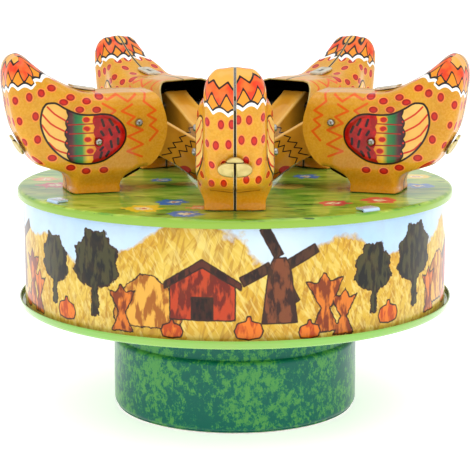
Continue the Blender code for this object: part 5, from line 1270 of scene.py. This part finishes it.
class HenSizes(PropertyGroup):
    """Sizes of the hens' pressed tin."""

    shoulder_width: size("Shoulder width", "How far the shoulder reaches in from the side", SHOULDER_WIDTH)
    shoulder_drop: size("Shoulder drop", "How far the shoulder reaches down from the back", SHOULDER_DROP)
    crown: size("Back crown", "How much the back rises from its shoulders to the seam", 0.45)
    seam_turn: size("Seam turn", "How far the halves' edges turn in at the seam", 0.25)
    wing_raise: size("Wing", "How far the wing stands out of the side", 0.4)
    breast_fold: amount("Breast fold", "How much sharper the breast's fold is than the back's", 3.0, 0.1)
    head_fold: size("Head fold", "The radius of the fold along the head's ridge", 1.1)
    head_crown: size("Head crown", "How much the head's ridge rises in its middle", 0.2)
    rivet_head: size("Rivet head", "The radius of a rivet's head", 1.1)
    rivet_dome: size("Rivet dome", "The height of a rivet head's dome", 0.75)
    clip_bulge: size("Clip bulge", "How far the rear clip's plates bulge", 0.3)
    tab_rise: size("Back tab", "How far the tab on the back stands off", 0.8)
    breast_tab_rise: size("Breast tab", "How far the tab under the breast stands off", 1.1)


class DrumSizes(PropertyGroup):
    """Sizes of the drum's folds."""

    rim_round: size("Rim rounding", "The radius of the plates' rounded edges", RIM_ROUND)
    tab_length: size("Tab length", "How far the wall's tabs reach in over the plate", 4.6)
    tab_bend: size("Tab bend", "The radius of the tabs' fold", 0.9)


class PrintColours(PropertyGroup):
    """Colours of the printing."""

    hen_gold: colour_of("Hen gold", "The hens' light ground", 218, 158, 34)
    hen_deep: colour_of("Hen orange", "The hens' deep ground", 204, 140, 19)
    dot_red: colour_of("Dot red", "The hens' dots", 200, 32, 16)
    ink: colour_of("Ink", "The hens' dark lines", 30, 22, 20)
    grass: colour_of("Grass", "The meadow's ground", 140, 180, 52)
    grass_deep: colour_of("Deep grass", "The meadow's shade", 84, 146, 40)
    rim_green: colour_of("Rim green", "The plates' rims", 140, 178, 60)
    straw_gold: colour_of("Straw", "The field on the wall", 212, 172, 56)
    base_green: colour_of("Base green", "The base's ground", 0, 94, 82)
    base_light: colour_of("Base light green", "The base's sponge dabs", 80, 150, 78)


class StageSettings(PropertyGroup):
    """The stage's light and camera."""

    sky: amount("Sky", "Strength of the light from all round", 0.9)
    key: amount("Main light", "Strength of the large light above", 4.0)
    fill: amount("Side lights", "Strength of the lights at the sides", 1.0)
    lens: amount("Lens", "The camera's focal length", 128.55, 10.0, 500.0, "CAMERA")


# Metals: name, light and dark tone, roughness, and the scale and stretch of their clouds
METALS = {
    # dark: a near-black tin, painted shade for the hens' insides and the tab under the breast
    "dark": ("shaded_tin", (34, 30, 26), (14, 12, 10), 0.5),
    "bright": ("bright_tin", (236, 232, 222), (206, 200, 186), 0.3),
    "bare": ("worn_tin", (204, 186, 124), (184, 164, 102), 0.4, 500.0),
    "rivet": ("rivet_metal", (178, 178, 172), (124, 122, 116), 0.3),
    "wire": ("drawn_wire", (196, 196, 198), (150, 150, 152), 0.3, 700.0, (1, 1, 0.1)),
    "spring": ("blued_spring", (74, 84, 110), (40, 46, 62), 0.26, 500.0),
    "motor": ("rolled_steel", (190, 192, 194), (140, 142, 146), 0.34, 400.0, (0.15, 1, 1)),
    "brass": ("stamped_brass", (226, 190, 110), (184, 140, 66), 0.26, 450.0),
    "key": ("plated_key", (226, 226, 224), (180, 180, 178), 0.16, 350.0),
}
SLIT_AND_SHADOW_TINS = {
    "tab": ("tab_tin", (232, 226, 208), (196, 188, 164)),
    "clip": ("clip_tin", (204, 186, 124), (184, 164, 102)),
}
PRINTS = {
    "hen": hen_print, "head": head_print, "meadow": meadow_print, "farm": farm_print, "sponge": sponge_print,
    "lime": lambda colours: enamel("lime_enamel", colours.rim_green, rgb(120, 186, 62)),
    "sky": lambda colours: enamel("sky_enamel", rgb(188, 216, 240), rgb(160, 196, 228)),
}
MADE = {}


def finish_of(name):
    """A finish, made once by its maker."""
    if name not in MADE:
        if name in METALS:
            MADE[name] = metal(*METALS[name])
        elif name in SLIT_AND_SHADOW_TINS:
            MADE[name] = slit_and_shadow_tin(*SLIT_AND_SHADOW_TINS[name])
        else:
            MADE[name] = PRINTS[name](bpy.context.scene.toy_colours)
    return MADE[name]


def finishes(*names):
    """Several finishes in order."""
    return [finish_of(name) for name in names]


def millimetres(group):
    """The group's settings as plain numbers, lengths in millimetres."""
    kinds = group.bl_rna.properties
    sizes = {key: getattr(group, key) for key in type(group).__annotations__}
    return SimpleNamespace(**{key: value / (MM if kinds[key].unit == "LENGTH" else 1)
                              for key, value in sizes.items()})


def each_hen(context):
    """Each hen's name, its place in the ring and the hens' sizes."""
    sizes = millimetres(context.scene.toy_hens)
    return [("hen_%d" % (index + 1), index, sizes) for index in range(HEN_COUNT)]


# Operators

class TOY_OT_top_plate(Operator):
    """Build the drum's printed top plate"""

    bl_idname = "toy.top_plate"
    bl_label = "Top plate"

    def execute(self, context):
        skin = top_plate(millimetres(context.scene.toy_drum))
        piece = skin.build("printed_top_plate", finishes("meadow", "bright"), SHEET, 1, 1)
        finish_piece(piece, "drum", "meadow_tin", "top_plate")
        return {"FINISHED"}


class TOY_OT_bottom_plate(Operator):
    """Build the drum's green bottom plate"""

    bl_idname = "toy.bottom_plate"
    bl_label = "Bottom plate"

    def execute(self, context):
        skin = bottom_plate(millimetres(context.scene.toy_drum))
        piece = skin.build("lipped_bottom_plate", finishes("lime", "lime"), SHEET, 1, 1)
        finish_piece(piece, "drum", "lime_tin", "bottom_plate")
        return {"FINISHED"}


class TOY_OT_drum_wall(Operator):
    """Build the drum's printed wall with its folded tabs"""

    bl_idname = "toy.drum_wall"
    bl_label = "Drum wall"

    def execute(self, context):
        skin = drum_wall(millimetres(context.scene.toy_drum))
        piece = skin.build("printed_drum_wall", finishes("farm", "bright", "sky"))
        finish_piece(piece, "drum", "picture_tin", "drum_wall")
        return {"FINISHED"}


class TOY_OT_base_can(Operator):
    """Build the sponged base"""

    bl_idname = "toy.base_can"
    bl_label = "Base can"

    def execute(self, context):
        piece = base_can().build("sponged_base_can", finishes("sponge", "bright"), SHEET, 1, 1)
        finish_piece(piece, "base", "sponged_tin", "base_can")
        return {"FINISHED"}


class TOY_OT_spindle(Operator):
    """Build the spindle with its riveted head"""

    bl_idname = "toy.spindle"
    bl_label = "Spindle"

    def execute(self, context):
        piece = spindle_skin().build("riveted_spindle", finishes("motor"))
        finish_piece(piece, "base", "motor_steel", "spindle")
        return {"FINISHED"}


class TOY_OT_hens(Operator):
    """Build the hens' pressed and printed halves"""

    bl_idname = "toy.hens"
    bl_label = "Hens"

    def execute(self, context):
        for name, index, sizes in each_hen(context):
            for side, word in ((-1, "left"), (1, "right")):
                skin = hen_half(index, side, sizes)
                # The halves' insides take the dark tin: painted shade inside the shells
                piece = skin.build(name + "_pressed_" + word, finishes("hen", "dark", "bare"), SHEET, 1, 2)
                finish_piece(piece, "drum", "hen_tin", name + "_" + word + "_half")
        return {"FINISHED"}


class TOY_OT_heads(Operator):
    """Build the folded heads that peck"""

    bl_idname = "toy.heads"
    bl_label = "Heads"

    def execute(self, context):
        for name, index, sizes in each_hen(context):
            skin = head_skin(index, sizes)
            piece = skin.build(name + "_folded_head", finishes("head", "bright", "bare"), SHEET, 1, 2)
            finish_piece(piece, name + "_head", "head_tin", name + "_head")
        return {"FINISHED"}


class TOY_OT_rivets(Operator):
    """Build the rivets through the hens"""

    bl_idname = "toy.rivets"
    bl_label = "Rivets"

    def execute(self, context):
        for name, index, sizes in each_hen(context):
            for spot, word in ((NECK_PIVOT, "neck"), (WING_RIVET, "wing")):
                skin = rivet_skin(index, spot, float(hen_half_width(*spot)), sizes)
                piece = skin.build(name + "_domed_" + word + "_rivet", finishes("rivet"))
                finish_piece(piece, "drum", "rivet_steel", name + "_" + word + "_rivet")
        return {"FINISHED"}


class TOY_OT_clips(Operator):
    """Build the bare clips over the hens' rear seams"""

    bl_idname = "toy.clips"
    bl_label = "Rear clips"

    def execute(self, context):
        for name, index, sizes in each_hen(context):
            piece = rear_clip(index, sizes).build(name + "_bulged_clip", finishes("clip"))
            finish_piece(piece, "drum", "bare_tin", name + "_rear_clip")
        return {"FINISHED"}


class TOY_OT_tabs(Operator):
    """Build the tabs folded over the seams on the hens' backs and under their breasts"""

    bl_idname = "toy.tabs"
    bl_label = "Seam tabs"

    def execute(self, context):
        for name, index, sizes in each_hen(context):
            for word, look, run, middle, length, rise_word, up in SEAM_TABS:
                skin = seam_tab(index, run, middle, length, getattr(sizes, rise_word), up)
                finish_piece(skin.build(name + word, finishes(look)), "drum", "bare_tin")
        return {"FINISHED"}


class TOY_OT_works(Operator):
    """Give the motor, lifter and wires their metals"""

    bl_idname = "toy.works"
    bl_label = "Works"

    def execute(self, context):
        metal_of = {node: name for name, nodes in WORKS.items() for node in nodes}
        metal_of.update({name + "_lift_wire": "wire" for name, index, sizes in each_hen(context)})
        for name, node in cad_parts.items():
            if not node.hide_render:
                node.data.materials.clear()
                node.data.materials.append(finish_of(metal_of.get(name, "motor")))
        return {"FINISHED"}


def soft_light(name, place, width, strength):
    """A large square light at a place, that faces the toy."""
    lamp = bpy.data.lights.new(name, "AREA")
    lamp.shape = "SQUARE"
    lamp.size = width
    lamp.energy = strength
    piece = bpy.data.objects.new(name, lamp)
    bpy.context.scene.collection.objects.link(piece)
    piece.location = place
    piece.rotation_euler = (Vector(LIGHT_AIM) - Vector(place)).to_track_quat("-Z", "Y").to_euler()


class TOY_OT_stage(Operator):
    """Build the floor, the lights and the camera"""

    bl_idname = "toy.stage"
    bl_label = "Stage"

    def execute(self, context):
        settings = context.scene.toy_stage
        world = bpy.data.worlds.new("studio")
        world.use_nodes = True
        background = world.node_tree.nodes["Background"]
        background.inputs["Color"].default_value = WHITE
        background.inputs["Strength"].default_value = settings.sky
        context.scene.world = world
        context.scene.view_settings.view_transform = "Standard"
        paint = Paint("studio_paper", roughness=0.6, specular=0.2)
        tone = paint.cloudy(paint.noise(3.0, 1.0), (0.93, 0.93, 0.93), (0.95, 0.95, 0.95))
        paint.shader.inputs["Emission Color"].default_value = WHITE
        paint.shader.inputs["Emission Strength"].default_value = FLOOR_GLOW
        rings = turned([(r, -FLOOR_DROP) for r in FLOOR_RADII], whole_turn(64))
        Skin().add(rings, around=True).build("studio_floor", [paint.done(tone)])
        for name, place, width, setting in LIGHTS:
            soft_light(name, place, width, getattr(settings, setting))
        lens = bpy.data.cameras.new("photo_camera")
        lens.lens = settings.lens
        lens.sensor_width = 36.0
        lens.clip_start = 0.01
        lens.clip_end = 100.0
        camera = bpy.data.objects.new("photo_camera", lens)
        context.scene.collection.objects.link(camera)
        camera.location = CAMERA_PLACE
        camera.rotation_euler = (radians(90 - CAMERA_DOWN), 0.0, 0.0)
        context.scene.camera = camera
        return {"FINISHED"}


PIECES = (TOY_OT_top_plate, TOY_OT_bottom_plate, TOY_OT_drum_wall, TOY_OT_base_can, TOY_OT_spindle,
          TOY_OT_hens, TOY_OT_heads, TOY_OT_rivets, TOY_OT_clips, TOY_OT_tabs, TOY_OT_works, TOY_OT_stage)
GROUPS = {"toy_hens": HenSizes, "toy_drum": DrumSizes, "toy_colours": PrintColours,
          "toy_stage": StageSettings}


class TOY_PT_panel(Panel):
    """The toy's pieces, sizes and colours"""

    bl_idname = "TOY_PT_panel"
    bl_label = "Pecking hens toy"
    bl_space_type = "VIEW_3D"
    bl_region_type = "UI"
    bl_category = "Tin toy"

    def draw(self, context):
        column = self.layout.column(align=True)
        for piece in PIECES:
            column.operator(piece.bl_idname)
        for name, kind in GROUPS.items():
            box = self.layout.box()
            for key in kind.__annotations__:
                box.prop(getattr(context.scene, name), key)


def register():
    """Tell Blender of the settings, the operators and the panel."""
    for name, group in GROUPS.items():
        bpy.utils.register_class(group)
        setattr(bpy.types.Scene, name, PointerProperty(type=group))
    for piece in PIECES + (TOY_PT_panel,):
        bpy.utils.register_class(piece)


def unregister():
    """Take away all that register gave."""
    for piece in (TOY_PT_panel,) + PIECES[::-1]:
        bpy.utils.unregister_class(piece)
    for name, group in GROUPS.items():
        delattr(bpy.types.Scene, name)
        bpy.utils.unregister_class(group)


def main():
    """Build every piece and the stage."""
    register()
    for piece in PIECES:
        area, word = piece.bl_idname.split(".")
        getattr(getattr(bpy.ops, area), word)()
    bpy.context.view_layer.update()


if __name__ == "__main__":
    main()
